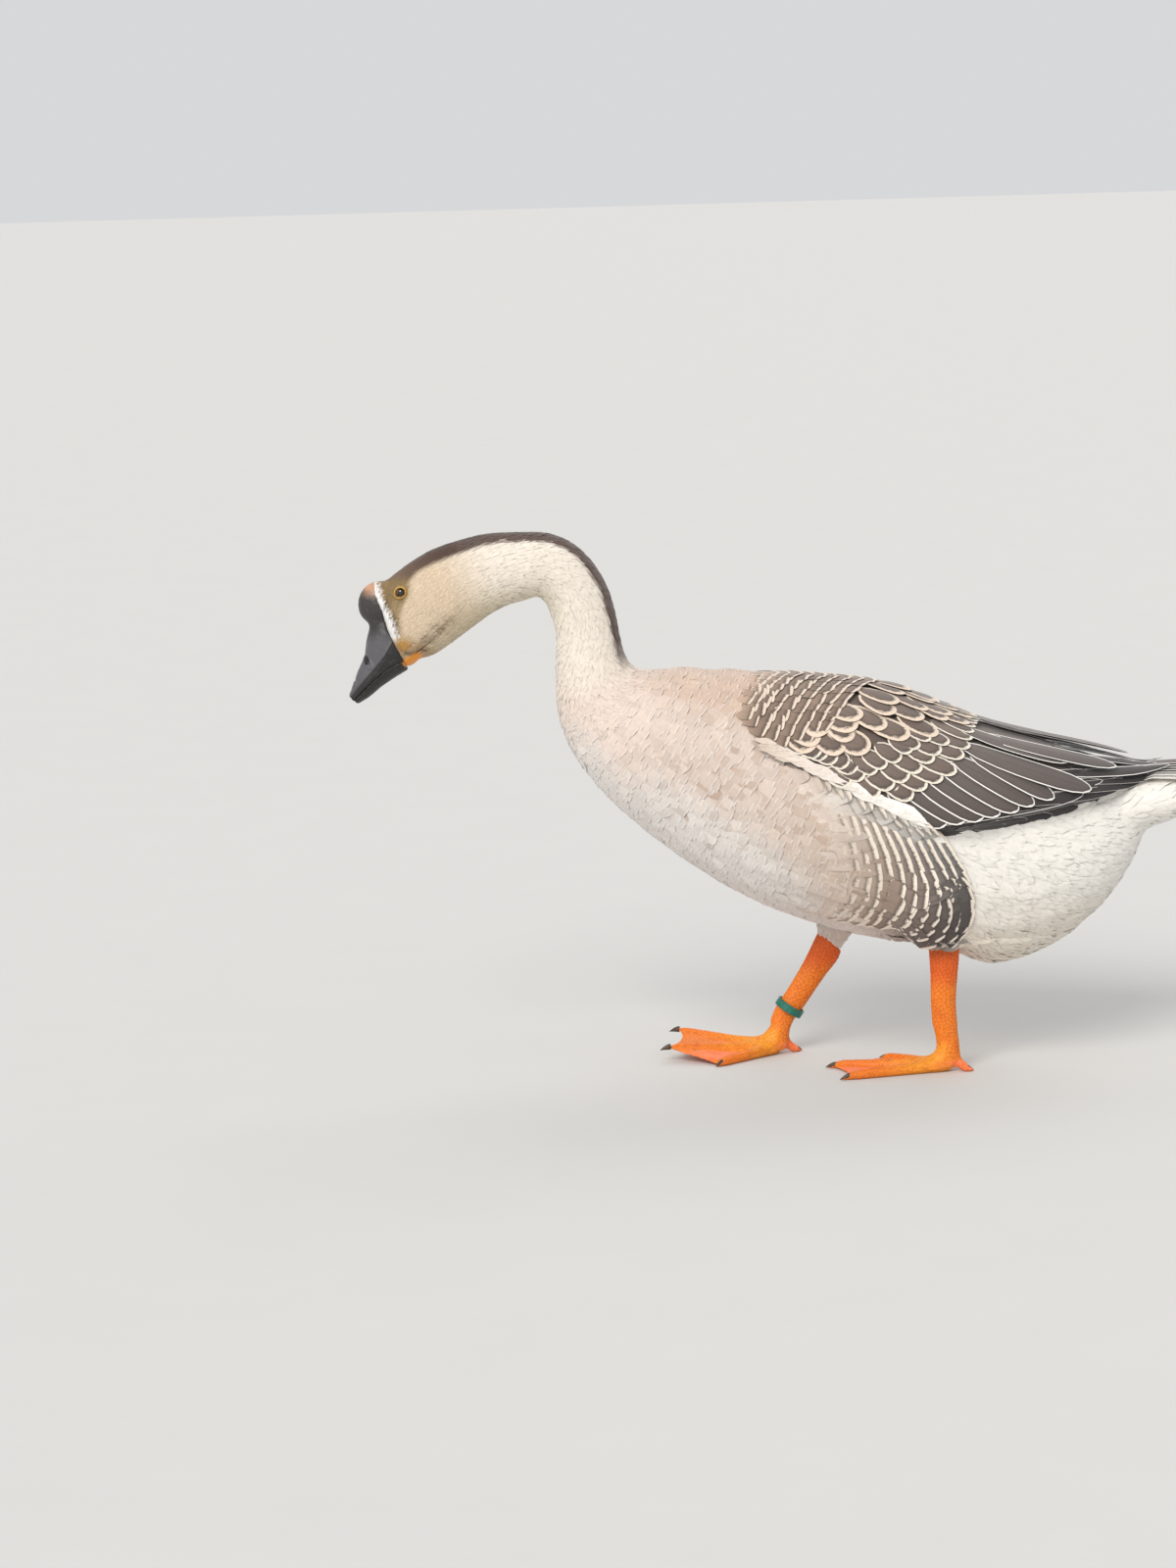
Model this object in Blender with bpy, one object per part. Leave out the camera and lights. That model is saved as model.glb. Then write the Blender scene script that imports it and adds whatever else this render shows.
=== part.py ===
"""Domestic knobbed goose, walking with its neck stretched forward and its head low. Still, life size.

Metres, +Z up. The goose faces -X, its left side is at -Y, and the origin is on the floor under the
middle of its bounding box. The tables of stations are in millimetres, and MM turns them into metres.
"""

import math

import bmesh
import bpy
import numpy as np
from mathutils import Matrix, Vector

MM = 0.001
GAP = 0.4 * MM  # clearance between neighbouring solids
SIDES = 20  # points round one ring of the body
RINGS_PER_STATION = 2

# name, centre x, centre z, lean of the ring's upper end towards +X in degrees, height, width
BODY = [
    ("brow", -388, 434, -14, 58, 30),
    ("face", -377, 422, -15, 85, 43),
    ("eye", -356, 435, -15, 90, 54),
    ("occiput", -329, 452, -17, 87, 58),
    ("nape", -301, 466, -18, 77, 57),
    ("throat", -279, 473, -12, 71, 56),
    ("neck_top", -257, 475, -3, 66, 56),
    ("neck_bend", -237, 476, 13, 62, 55),
    ("neck_back", -220, 466, 36, 62, 55),
    ("neck_fall", -207, 446, 56, 62, 55),
    ("neck_stem", -200, 422, 71, 62, 56),
    ("neck_root", -198, 396, 73, 66, 60),
    ("withers", -196, 372, 67, 75, 69),
    ("collar", -190, 351, 54, 91, 84),
    ("crop", -174, 333, 42, 114, 108),
    ("breast", -143, 311, 30, 145, 142),
    ("shoulder", -87, 279, 16, 184, 180),
    ("chest", -28, 255, 6, 219, 206),
    ("ribs", 37, 238, 1, 237, 220),
    ("loin", 97, 227, -1, 237, 222),
    ("hip", 130, 217, -2, 232, 214),
    ("belly_end", 165, 202, -4, 234, 202),
    ("rump", 216, 198, -7, 195, 186),
    ("vent", 268, 204, -9, 134, 144),
    ("tail_head", 302, 219, -14, 74, 88),
    ("end", 319, 229, -20, 26, 34),
]
# The body is parted at these stations
SEGMENTS = [
    ("head", "brow", "nape"),
    ("neck_upper", "nape", "neck_bend"),
    ("neck_middle", "neck_bend", "neck_stem"),
    ("neck_lower", "neck_stem", "collar"),
    ("trunk", "collar", "end"),
]
TAIL = [
    ("root", 272, 238, 0, 50, 62),
    ("coverts", 318, 241, 0, 62, 92),
    ("fan", 352, 247, 0, 50, 112),
    ("mid_fan", 388, 256, 0, 25, 120),
    ("edge", 412, 262, 0, 9, 104),
    ("tip", 420, 264, 0, 4, 80),
]
# x, top at the middle line, lower edge, height of the widest line, half width there
WING = [
    (-80, 369, 366, 262, 88),
    (-66, 372, 350, 260, 93),
    (-46, 373, 320, 258, 101),
    (-16, 373, 299, 250, 109),
    (29, 370, 272, 242, 117),
    (75, 363, 248, 236, 120),
    (120, 350, 233, 232, 119),
    (166, 333, 238, 224, 113),
    (211, 317, 247, 222, 101),
    (257, 300, 255, 226, 80),
    (293, 285, 265, 238, 52),
    (314, 273, 269, 252, 28),
]
WING_DEPTHS = (10, 26, 26, 7)  # how deep the uncut wing reaches under its outer face, front to rear
WING_SPLIT = 0.25  # half the gap between the two wings along the back

# The whole bill, before it is parted along the mouth
BILL = [
    ("inside", -364, 408, -38, 40, 26),
    ("root", -375, 412, -37, 58, 30),
    ("base", -385, 400, -43, 52, 31),
    ("nostril", -392, 386, -52, 36, 28),
    ("narrows", -403, 373, -56, 26, 25),
    ("nail", -411, 362, -51, 18, 20),
    ("tip", -418, 354, -44, 10, 12),
]
MOUTH = [(-345, 403), (-360, 397), (-370, 391), (-384, 384), (-397, 374), (-410, 362), (-428, 344)]
MOUTH_SLIT = 0.5 * MM
KNOB_CENTRE = (-392, 0, 443)
KNOB_SIZE = (19, 14, 21)  # half lengths along X, Y and Z

EYE_CENTRE = (-370.5, 16.6, 456)  # of the right eye
EYE_RADIUS = 7.6

FLOOR = -6  # the tables' level that the soles stand on
FOOT_HEADING = 13  # degrees that each foot turns in
# x, distance from the middle plane, z, and half thickness fore and aft, from inside the body down
LEFT_THIGH = [
    (98, 70, 205, 40), (108, 74, 170, 42), (119, 65, 135, 31),
    (126, 51, 106, 18), (127, 49, 100, 15),
]
RIGHT_THIGH = [
    (54, 62, 205, 42), (47, 64, 168, 38), (36, 56, 132, 25),
    (26.5, 49, 104, 16), (24, 48, 98, 13.8),
]
LEFT_SHANK = [
    (126, 49, 112, 13.5), (126.5, 48, 99, 14.8), (126, 48, 86, 12.8),
    (125, 48, 60, 11.8), (126.5, 48, 36, 11.8), (129.5, 48, 19, 12.4),
]
RIGHT_SHANK = [
    (27, 48, 107, 12.8), (20.5, 48, 92, 14.4), (11.5, 48, 78, 12.6),
    (-3.5, 48, 55, 11.4), (-17.5, 48, 34, 11.5), (-26, 48, 20, 12.2),
]
SHANK_FLATNESS = 0.74  # width over fore-and-aft thickness
THIGH_FLATNESS = 0.85

# Toes: turn from the foot's heading in degrees, and length
TOES = [("inner", -30, 79), ("middle", 0, 112), ("outer", 29, 103)]
TOE_RINGS = [  # share of the length, half thickness, height of the middle
    (-0.03, 9.0, 9.5), (0.08, 9.2, 8.3), (0.2, 7.4, 6.5), (0.38, 6.0, 5.0), (0.55, 5.6, 4.6),
    (0.72, 5.0, 4.1), (0.86, 4.6, 3.8), (0.92, 3.3, 3.4), (1.0, 0.9, 1.2),
]
# Distance behind the ankle, height, radius
HIND_TOE = [(2, 20, 6.5), (9, 13, 5), (15, 6.3, 4.4), (20, 2.4, 3.6), (26, 1.0, 0.8)]
WEB_REACH = (0.95, 0.86)  # of the toes' lengths: at a toe, and half way between two toes
WEB_LOW, WEB_HIGH = 0.8, 3.6
# How steeply the foot rises to the side of its inner toe: the right foot is just being set down
LEFT_FOOT_SLOPE, RIGHT_FOOT_SLOPE = 0.0, 0.22

RING_RADIUS, RING_WALL, RING_HEIGHT = 12.6, 1.5, 7.5
RING_PLACE = 0.75  # how far down the right shank it sits


def clear_scene():
    for obj in list(bpy.data.objects):
        bpy.data.objects.remove(obj)


def make_material(name, colour, roughness, metallic=0.0):
    material = bpy.data.materials.new(name)
    material.use_nodes = True
    shader = material.node_tree.nodes["Principled BSDF"]
    shader.inputs["Base Color"].default_value = (*colour, 1.0)
    shader.inputs["Roughness"].default_value = roughness
    shader.inputs["Metallic"].default_value = metallic
    return material


def spline(rows, steps):
    """Rows of numbers joined by a Catmull-Rom curve, with this many steps between two of them."""
    rows = np.asarray(rows, float)
    padded = np.vstack([2 * rows[0] - rows[1], rows, 2 * rows[-1] - rows[-2]])
    found = []
    for before, start, end, after in zip(padded, padded[1:], padded[2:], padded[3:]):
        for t in np.arange(steps) / steps:
            found.append(
                start
                + (end - before) / 2 * t
                + (before - 2.5 * start + 2 * end - after / 2) * t**2
                + (3 * start - before - 3 * end + after) / 2 * t**3
            )
    return np.array([*found, rows[-1]])


def oval_ring(centre, up, height, width, sides=SIDES):
    """Points of an oval in the plane of up and the Y axis. All arguments are in metres."""
    across = Vector((0, 1, 0))
    spin = [2 * math.pi * i / sides for i in range(sides)]
    return [centre + up * (height / 2 * math.sin(a)) + across * (width / 2 * math.cos(a)) for a in spin]


def body_ring(station, shift=0.0, sides=SIDES):
    """A station's ring, moved by shift along the body towards the tail."""
    x, z, lean, height, width = station
    up = Vector((math.sin(math.radians(lean)), 0, math.cos(math.radians(lean))))
    tailward = Vector((up.z, 0, -up.x))
    centre = Vector((x, 0, z)) * MM + tailward * shift
    return oval_ring(centre, up, height * MM, width * MM, sides)


def loft(rings):
    """A closed bmesh through these rings, which all hold the same number of points, with flat ends."""
    mesh = bmesh.new()
    loops = [[mesh.verts.new(p) for p in ring] for ring in rings]
    for first, second in zip(loops, loops[1:]):
        for i, corner in enumerate(first):
            mesh.faces.new((first[i - 1], corner, second[i], second[i - 1]))
    mesh.faces.new(loops[0])
    mesh.faces.new(loops[-1][::-1])
    bmesh.ops.recalc_face_normals(mesh, faces=mesh.faces)
    return mesh


def add_object(name, mesh, material=None):
    """An object from a bmesh, shaded smooth except at sharp edges."""
    data = bpy.data.meshes.new(name)
    mesh.to_mesh(data)
    mesh.free()
    data.shade_smooth()
    data.set_sharp_from_angle(angle=math.radians(50))
    obj = bpy.data.objects.new(name, data)
    if material:
        data.materials.append(material)
    bpy.context.scene.collection.objects.link(obj)
    return obj


def add_cutter(name, mesh):
    obj = add_object(name, mesh)
    obj.hide_render = True
    obj.display_type = "WIRE"
    return obj


def evaluated_bmesh(obj):
    mesh = bmesh.new()
    mesh.from_object(obj, bpy.context.evaluated_depsgraph_get())
    return mesh


def settle():
    """Moves everything, cutters too, so that the soles are at height 0 under a centred bounding box."""
    graph = bpy.context.evaluated_depsgraph_get()
    corners = []
    for obj in bpy.data.objects:
        if not obj.hide_render:
            corners += [obj.matrix_world @ v.co for v in obj.evaluated_get(graph).data.vertices]
    low = Vector(min(c[axis] for c in corners) for axis in range(3))
    high = Vector(max(c[axis] for c in corners) for axis in range(3))
    for obj in bpy.data.objects:
        obj.location -= Vector(((low.x + high.x) / 2, (low.y + high.y) / 2, low.z))


def grown_copy(obj, gap=GAP):
    """A cutter that is obj with each point moved out by the gap."""
    mesh = evaluated_bmesh(obj)
    bmesh.ops.recalc_face_normals(mesh, faces=mesh.faces)
    mesh.normal_update()
    moved = [v.co + v.normal * gap for v in mesh.verts]
    for vertex, place in zip(mesh.verts, moved):
        vertex.co = place
    return add_cutter(f"{obj.name}_cutter", mesh)


def combine(obj, other, operation):
    modifier = obj.modifiers.new(f"{operation} {other.name}", "BOOLEAN")
    modifier.operation = operation
    modifier.object = other


def cut(obj, *cutters):
    for cutter in cutters:
        combine(obj, cutter, "DIFFERENCE")


def build_body(material):
    """The head, the lengths of neck and the trunk, as one form parted by thin flat cuts."""
    names = [row[0] for row in BODY]
    stations = spline([row[1:] for row in BODY], RINGS_PER_STATION)
    made = {}
    for name, start, end in SEGMENTS:
        first, last = (RINGS_PER_STATION * names.index(n) for n in (start, end))
        rings = [body_ring(s) for s in stations[first : last + 1]]
        rings[0] = body_ring(stations[first], GAP / 2)
        rings[-1] = body_ring(stations[last], -GAP / 2)
        made[name] = add_object(name, loft(rings), material)
    return made


def build_tail(material):
    stations = spline([row[1:] for row in TAIL], 2)
    return add_object("tail", loft([body_ring(s) for s in stations]), material)


def wing_ring(row, side, depth, steps=8):
    """A closed band: the wing's outer face from its lower edge to the back's middle, then its inside."""
    x, top, low, middle, half_width = row
    rise = top - middle
    lowest = math.asin(min(1.0, (low - middle) / rise))

    def place(share, across, up):
        angle = lowest + (math.pi / 2 - lowest) * share
        out = max(across * math.cos(angle), WING_SPLIT)
        return Vector((x, side * out, middle + up * math.sin(angle))) * MM

    shares = [i / steps for i in range(steps + 1)]
    outer = [place(s, half_width, rise) for s in shares]
    inner = [place(s, half_width - depth, rise - depth) for s in reversed(shares)]
    return outer + inner


def build_wing(name, side, material):
    rows = spline(WING, 2)
    known = [0, 5, len(rows) - 6, len(rows) - 1]
    depths = np.interp(range(len(rows)), known, WING_DEPTHS)
    return add_object(name, loft([wing_ring(r, side, d) for r, d in zip(rows, depths)]), material)


def build_bill():
    stations = spline([row[1:] for row in BILL], 2)
    return loft([body_ring(s, sides=18) for s in stations])


def mouth_slab(half_width=0.04, upper=True):
    """A thick plate that reaches up or down from the line of the mouth."""
    away = Vector((-60, 0, 60)) if upper else Vector((60, 0, -80))
    line = [Vector((x, 0, z)) for x, _, z in spline([(x, 0, z) for x, z in MOUTH], 3)]
    slit = MOUTH_SLIT / MM / 2
    line = [p + away.normalized() * -slit for p in line]
    outline = line + [p + away for p in reversed(line)]
    rings = [[(p * MM) + Vector((0, y, 0)) for p in outline] for y in (-half_width, half_width)]
    return loft(rings)


def build_mandibles(material, knob, head_cutter):
    upper = add_object("bill_upper", build_bill(), material)
    lower = add_object("bill_lower", build_bill(), material)
    cut(upper, add_cutter("below_mouth", mouth_slab(upper=False)), head_cutter, grown_copy(knob))
    cut(lower, add_cutter("above_mouth", mouth_slab(upper=True)), head_cutter)


def ball(name, centre, half_lengths, material, segments=18, rings=12):
    mesh = bmesh.new()
    size = Matrix.Diagonal([*(s * MM for s in half_lengths), 1])
    place = Matrix.Translation(Vector(centre) * MM) @ size
    bmesh.ops.create_uvsphere(mesh, u_segments=segments, v_segments=rings, radius=1, matrix=place)
    return add_object(name, mesh, material)


def build_eyes(head, material):
    x, y, z = EYE_CENTRE
    for name, side in (("eye_left", -1), ("eye_right", 1)):
        eye = ball(name, (x, side * y, z), [EYE_RADIUS] * 3, material, 14, 8)
        cut(head, grown_copy(eye))


def leg_tube(name, rows, side, flatness, material, sides=14):
    """A limb through rows of x, distance out, z and half thickness, its rings square to it from the side."""
    rows = spline(rows, 2)
    rings = []
    for i, (x, out, z, half) in enumerate(rows):
        ahead, behind = rows[min(i + 1, len(rows) - 1)], rows[max(i - 1, 0)]
        along = Vector((ahead[0] - behind[0], 0, ahead[2] - behind[2])).normalized()
        fore = Vector((along.z, 0, -along.x))
        centre = Vector((x, side * out, z)) * MM
        rings.append(oval_ring(centre, fore, 2 * half * MM, 2 * half * flatness * MM, sides))
    return add_object(name, loft(rings), material)


def build_toe(place, turn, length, sides=8):
    """One front toe with its claw. The function place sets a point by turn, distance and height."""
    rings = []
    for share, radius, z in TOE_RINGS:
        middle = place(turn, share * length, z)
        ahead = place(turn, share * length + 1, z) - middle
        across = Vector((-ahead.y, ahead.x, 0)).normalized()
        up = ahead.cross(across).normalized()
        if up.z < 0:
            up = -up
        spin = [2 * math.pi * (i + 0.5) / sides for i in range(sides)]
        rings.append([middle + (across * math.cos(a) + up * math.sin(a)) * (radius * MM) for a in spin])
    return loft(rings)


def build_hind_toe(ankle, heading, sides=8):
    rings = []
    turned = math.radians(heading)
    back = Vector((math.cos(turned), -math.sin(turned), 0))
    across = Vector((math.sin(turned), math.cos(turned), 0))
    for distance, z, radius in HIND_TOE:
        centre = (Vector((ankle.x, ankle.y, z + FLOOR)) + back * distance) * MM
        slanted = back * 0.6 + Vector((0, 0, 1)) * 0.8
        spin = [2 * math.pi * (i + 0.5) / sides for i in range(sides)]
        square = [across * math.cos(a) + slanted * math.sin(a) for a in spin]
        rings.append([centre + out * (radius * MM) for out in square])
    return loft(rings)


def build_web(place):
    """A thin plate between the three front toes, its front edge hollow between them."""
    at_toe, between = WEB_REACH
    outline = [(TOES[0][1], 4)]
    for (_, first, long_first), (_, second, long_second) in zip(TOES, TOES[1:]):
        for step in range(6):
            t = step / 5
            hollow = 1 - (2 * t - 1) ** 2
            share = at_toe + (between - at_toe) * hollow
            full_length = long_first + (long_second - long_first) * t
            outline.append((first + (second - first) * t, full_length * share))
    outline.append((TOES[-1][1], 4))
    return loft([[place(turn, distance, z) for turn, distance in outline] for z in (WEB_LOW, WEB_HIGH)])


def build_foot(name, shank_rows, side, slope, material):
    """Toes, web and hind toe joined into one solid, with flat soles at floor level."""
    x, out, z, half = shank_rows[-1]
    ankle = Vector((x - 3, side * out, FLOOR))
    heading = -side * FOOT_HEADING

    def place(turn, distance, height):
        angle = math.radians(heading + side * turn)
        rise = slope * distance * math.sin(math.radians(turn - TOES[0][1]))
        ahead, aside = -distance * math.cos(angle), distance * math.sin(angle)
        return (ankle + Vector((ahead, aside, height + rise))) * MM

    stub = [(x, out, z - 0.5, half), (x - 1, out, FLOOR + 15, 12), (x - 4, out, FLOOR + 7, 10.5)]
    foot = leg_tube(name, stub, side, 0.85, material, 12)
    pieces = [build_toe(place, turn, length) for _, turn, length in TOES]
    pieces += [build_hind_toe(ankle, heading), build_web(place)]
    for number, piece in enumerate(pieces):
        combine(foot, add_cutter(f"{name}_piece_{number}", piece), "UNION")
    floor = bmesh.new()
    bmesh.ops.create_cube(floor, size=1, matrix=Matrix.Translation((0, 0, FLOOR * MM - 0.5)))
    cut(foot, add_cutter(f"{name}_floor", floor))
    return foot


def build_leg(side_name, side, rows, slope, body_cutters, feather, skin):
    thigh_rows, shank_rows = rows
    thigh = leg_tube(f"thigh_{side_name}", thigh_rows, side, THIGH_FLATNESS, feather, 16)
    cut(thigh, *body_cutters)
    shank = leg_tube(f"shank_{side_name}", shank_rows, side, SHANK_FLATNESS, skin)
    foot = build_foot(f"foot_{side_name}", shank_rows, side, slope, skin)
    cut(shank, body_cutters[0], grown_copy(thigh), grown_copy(foot))


def build_ring(shank_rows, side, material):
    """A plastic band round the shank, square to it."""
    rows = spline(shank_rows, 4)
    index = round(RING_PLACE * (len(rows) - 1))
    x, out, z, _ = rows[index]
    ahead, behind = rows[index + 1], rows[index - 1]
    along = Vector((ahead[0] - behind[0], 0, ahead[2] - behind[2])).normalized()
    fore = Vector((along.z, 0, -along.x))
    centre = Vector((x, side * out, z)) * MM
    half = RING_HEIGHT / 2
    outer = RING_RADIUS + RING_WALL
    profile = [(RING_RADIUS, -half), (outer, -half), (outer, half), (RING_RADIUS, half)]
    mesh = bmesh.new()
    count = 24
    loops = []
    for i in range(count):
        turn = 2 * math.pi * i / count
        out = fore * math.cos(turn) + Vector((0, math.sin(turn), 0))
        loops.append([mesh.verts.new(centre + out * (r * MM) + along * (h * MM)) for r, h in profile])
    for i in range(count):
        first, second = loops[i - 1], loops[i]
        for k in range(len(profile)):
            mesh.faces.new((first[k - 1], first[k], second[k], second[k - 1]))
    bmesh.ops.recalc_face_normals(mesh, faces=mesh.faces)
    return add_object("leg_ring", mesh, material)


def main():
    clear_scene()
    cream = make_material("cream plumage", (0.78, 0.69, 0.58), 0.85)
    brown = make_material("brown wing plumage", (0.17, 0.14, 0.125), 0.8)
    white = make_material("white tail plumage", (0.82, 0.80, 0.76), 0.85)
    horn = make_material("black horn", (0.03, 0.03, 0.03), 0.45)
    amber = make_material("brown eye", (0.09, 0.05, 0.02), 0.1)
    orange = make_material("orange leg skin", (0.85, 0.25, 0.04), 0.55)
    green = make_material("green plastic", (0.05, 0.26, 0.2), 0.4)

    body = build_body(cream)
    trunk_cutter = grown_copy(body["trunk"])
    wings = [build_wing("wing_left", -1, brown), build_wing("wing_right", 1, brown)]
    wing_bed = grown_copy(body["trunk"], 2 * GAP)
    for wing in wings:
        cut(wing, wing_bed)
    tail = build_tail(white)
    body_cutters = [trunk_cutter, *(grown_copy(wing) for wing in wings)]
    cut(tail, *body_cutters)

    head_cutter = grown_copy(body["head"])
    knob = ball("knob", KNOB_CENTRE, KNOB_SIZE, horn)
    cut(knob, head_cutter)
    build_mandibles(horn, knob, head_cutter)
    build_eyes(body["head"], amber)

    build_leg("left", -1, (LEFT_THIGH, LEFT_SHANK), LEFT_FOOT_SLOPE, body_cutters, cream, orange)
    build_leg("right", 1, (RIGHT_THIGH, RIGHT_SHANK), RIGHT_FOOT_SLOPE, body_cutters, cream, orange)
    build_ring(RIGHT_SHANK, 1, green)
    settle()


main()
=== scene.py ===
import math

import bpy
import numpy as np
from mathutils import Matrix, Vector
from mathutils.bvhtree import BVHTree
from mathutils.kdtree import KDTree


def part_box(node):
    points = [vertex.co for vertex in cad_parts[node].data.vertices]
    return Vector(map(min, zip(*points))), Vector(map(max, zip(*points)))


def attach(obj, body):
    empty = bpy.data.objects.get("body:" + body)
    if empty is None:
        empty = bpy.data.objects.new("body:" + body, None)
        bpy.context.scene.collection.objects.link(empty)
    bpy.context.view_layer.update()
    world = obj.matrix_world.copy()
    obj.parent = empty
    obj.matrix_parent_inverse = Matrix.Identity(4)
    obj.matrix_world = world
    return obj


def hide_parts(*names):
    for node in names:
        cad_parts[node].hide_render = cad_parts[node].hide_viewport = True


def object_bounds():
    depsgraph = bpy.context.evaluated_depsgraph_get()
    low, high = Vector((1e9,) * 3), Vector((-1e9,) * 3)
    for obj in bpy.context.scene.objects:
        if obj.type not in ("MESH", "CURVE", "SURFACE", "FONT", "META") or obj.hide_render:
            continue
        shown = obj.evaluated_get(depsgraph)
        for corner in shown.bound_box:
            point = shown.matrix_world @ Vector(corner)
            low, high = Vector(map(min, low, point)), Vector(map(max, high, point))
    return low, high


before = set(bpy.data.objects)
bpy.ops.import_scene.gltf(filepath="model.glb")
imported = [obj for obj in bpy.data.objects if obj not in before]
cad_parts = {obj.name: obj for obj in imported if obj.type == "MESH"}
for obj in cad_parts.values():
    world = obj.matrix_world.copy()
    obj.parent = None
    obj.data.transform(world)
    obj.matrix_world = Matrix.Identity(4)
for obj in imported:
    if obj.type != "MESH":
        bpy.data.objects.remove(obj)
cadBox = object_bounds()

mm = 0.001
draws = np.random.default_rng(7)  # every random number comes from here, so each run is the same
sides = {"left": -1, "right": 1}


def tone(red, green, blue):  # an everyday 0 to 255 colour as the linear one that a shader takes
    share = np.array([red, green, blue]) / 255
    return np.where(share < 0.04045, share / 12.92, ((share + 0.055) / 1.055) ** 2.4)


def rgba(colour):
    return (*colour, 1.0)


def ease(value, low, high):  # 0 below low, 1 above high, smooth between them
    share = np.clip((value - low) / (high - low), 0, 1)
    return share * share * (3 - 2 * share)


def blendTo(colours, colour, share):
    return colours + (np.asarray(colour) - colours) * np.asarray(share)[:, None]


def unit(vectors):
    return vectors / np.maximum(np.linalg.norm(vectors, axis=-1, keepdims=True), 1e-12)


def dot(first, second):
    return (first * second).sum(-1, keepdims=True)


def readLine(place, line):  # a line's second number where its first is place
    return np.interp(place, *zip(*line))


def readList(share, values):  # what evenly spread values come to at a share of the way through them
    return np.interp(share, np.linspace(0, 1, len(values)), values)


def hump(distance, width):  # a soft hump, 1 at no distance
    return np.exp(-(distance / width) ** 2)


studio = dict(
    aim=(cadBox[0].x + 219.9 * mm, 0, 274 * mm), distance=4.14, elevation=9, roll=1.6, lens=101.25,
    floor=(0.62, 0.615, 0.60), floorHalf=30, sky=(0.97, 0.98, 1.0), skyStrength=0.70,
    lamps={  # direction that it shines from, spread in degrees, strength, colour
        "key": ((-1.0, -2.2, 1.9), 30, 2.1, (1.0, 0.97, 0.93)),
        "back": ((1.2, 1.8, 1.9), 40, 0.6, (1.0, 0.98, 0.95)),
    },
)


def makeCamera():
    data = bpy.data.cameras.new("camera")
    data.lens, data.sensor_width = studio["lens"], 36
    camera = bpy.data.objects.new("camera", data)
    tilt, roll = math.radians(studio["elevation"]), math.radians(studio["roll"])
    turn = Matrix.Rotation(math.pi / 2 - tilt, 4, "X") @ Matrix.Rotation(-roll, 4, "Z")
    back = Vector((0, -math.cos(tilt), math.sin(tilt))) * studio["distance"]
    camera.matrix_world = Matrix.Translation(Vector(studio["aim"]) + back) @ turn
    bpy.context.scene.collection.objects.link(camera)
    bpy.context.scene.camera = camera


def makeLamps():
    for name, (place, spread, strength, colour) in studio["lamps"].items():
        data = bpy.data.lights.new(name, "SUN")
        data.angle, data.energy, data.color = math.radians(spread), strength, colour
        lamp = bpy.data.objects.new(name, data)
        lamp.matrix_world = (-Vector(place)).to_track_quat("-Z", "Y").to_matrix().to_4x4()
        lamp.matrix_world.translation = place
        bpy.context.scene.collection.objects.link(lamp)
    world = bpy.data.worlds.new("sky")
    bpy.context.scene.world = world
    world.use_nodes = True
    background = world.node_tree.nodes["Background"]
    background.inputs["Color"].default_value = rgba(studio["sky"])
    background.inputs["Strength"].default_value = studio["skyStrength"]
    bpy.context.scene.view_settings.view_transform = "Standard"


class Wire:  # a socket of a finish that can stand in an expression
    def __init__(self, finish, socket):
        self.finish, self.socket = finish, socket

    def __add__(self, other):
        return self.finish.maths("ADD", self, other)

    def __mul__(self, other):
        return self.finish.maths("MULTIPLY", self, other)

    def __sub__(self, other):
        return self.finish.maths("SUBTRACT", self, other)

    def __rsub__(self, other):
        return self.finish.maths("SUBTRACT", other, self)

    __radd__ = __add__
    __rmul__ = __mul__


class Finish:  # one material; what is fixed over the whole surface is given with its name
    def __init__(self, name, **fixed):
        self.material = bpy.data.materials.new(name)
        self.material.use_nodes = True
        self.tree = self.material.node_tree
        self.shader = self.tree.nodes["Principled BSDF"]
        self.wear(**fixed)

    def wear(self, **worn):  # a value or a link for each socket of the shader, spaces as underscores
        for socket, value in worn.items():
            self.join(value, self.shader.inputs[socket.replace("_", " ")])

    def join(self, value, socket):
        if isinstance(value, Wire):
            self.tree.links.new(value.socket, socket)
        else:
            socket.default_value = value

    def node(self, kind, settings=None, values=None, output=0):
        made = self.tree.nodes.new(kind)
        for name, value in (settings or {}).items():
            setattr(made, name, value)
        for name, value in (values or {}).items():
            self.join(value, made.inputs[name])
        return Wire(self, made.outputs[output])

    def maths(self, operation, *values):
        return self.node("ShaderNodeMath", {"operation": operation}, dict(enumerate(values)))

    def place(self):
        return self.node("ShaderNodeTexCoord", output="Object")

    def noise(self, scale, detail):
        values = {"Vector": self.place(), "Scale": scale, "Detail": detail, "Roughness": 0.55}
        return self.node("ShaderNodeTexNoise", {}, values)

    def cells(self, scale):
        return self.node("ShaderNodeTexVoronoi", {}, {"Vector": self.place(), "Scale": scale})

    def between(self, value, low, high, start=0.0, end=1.0):
        values = {"Value": value, "From Min": low, "From Max": high, "To Min": start, "To Max": end}
        return self.node("ShaderNodeMapRange", {"interpolation_type": "SMOOTHSTEP"}, values)

    def mix(self, share, first, second):  # colours; sockets 6, 7 and 2 are a Mix node's own for them
        return self.node("ShaderNodeMix", {"data_type": "RGBA"}, {0: share, 6: first, 7: second}, 2)

    def stored(self, name, output="Fac"):  # what the mesh keeps at its points
        return self.node("ShaderNodeAttribute", {"attribute_name": name}, output=output)

    def bump(self, height, distance):
        return self.node("ShaderNodeBump", {}, {"Height": height, "Distance": distance}, "Normal")


def makeFloor():
    half = studio["floorHalf"]
    points = np.array([(-half, -half, 0), (half, -half, 0), (half, half, 0), (-half, half, 0)], float)
    floor = newPiece("floor", points, np.array([4]), np.arange(4))
    finish = Finish("pale floor", Roughness=0.85)
    shade = rgba([part * 0.97 for part in studio["floor"]])
    finish.wear(Base_Color=finish.mix(finish.noise(9, 4), shade, rgba(studio["floor"])))
    floor.data.materials.append(finish.material)


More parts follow.
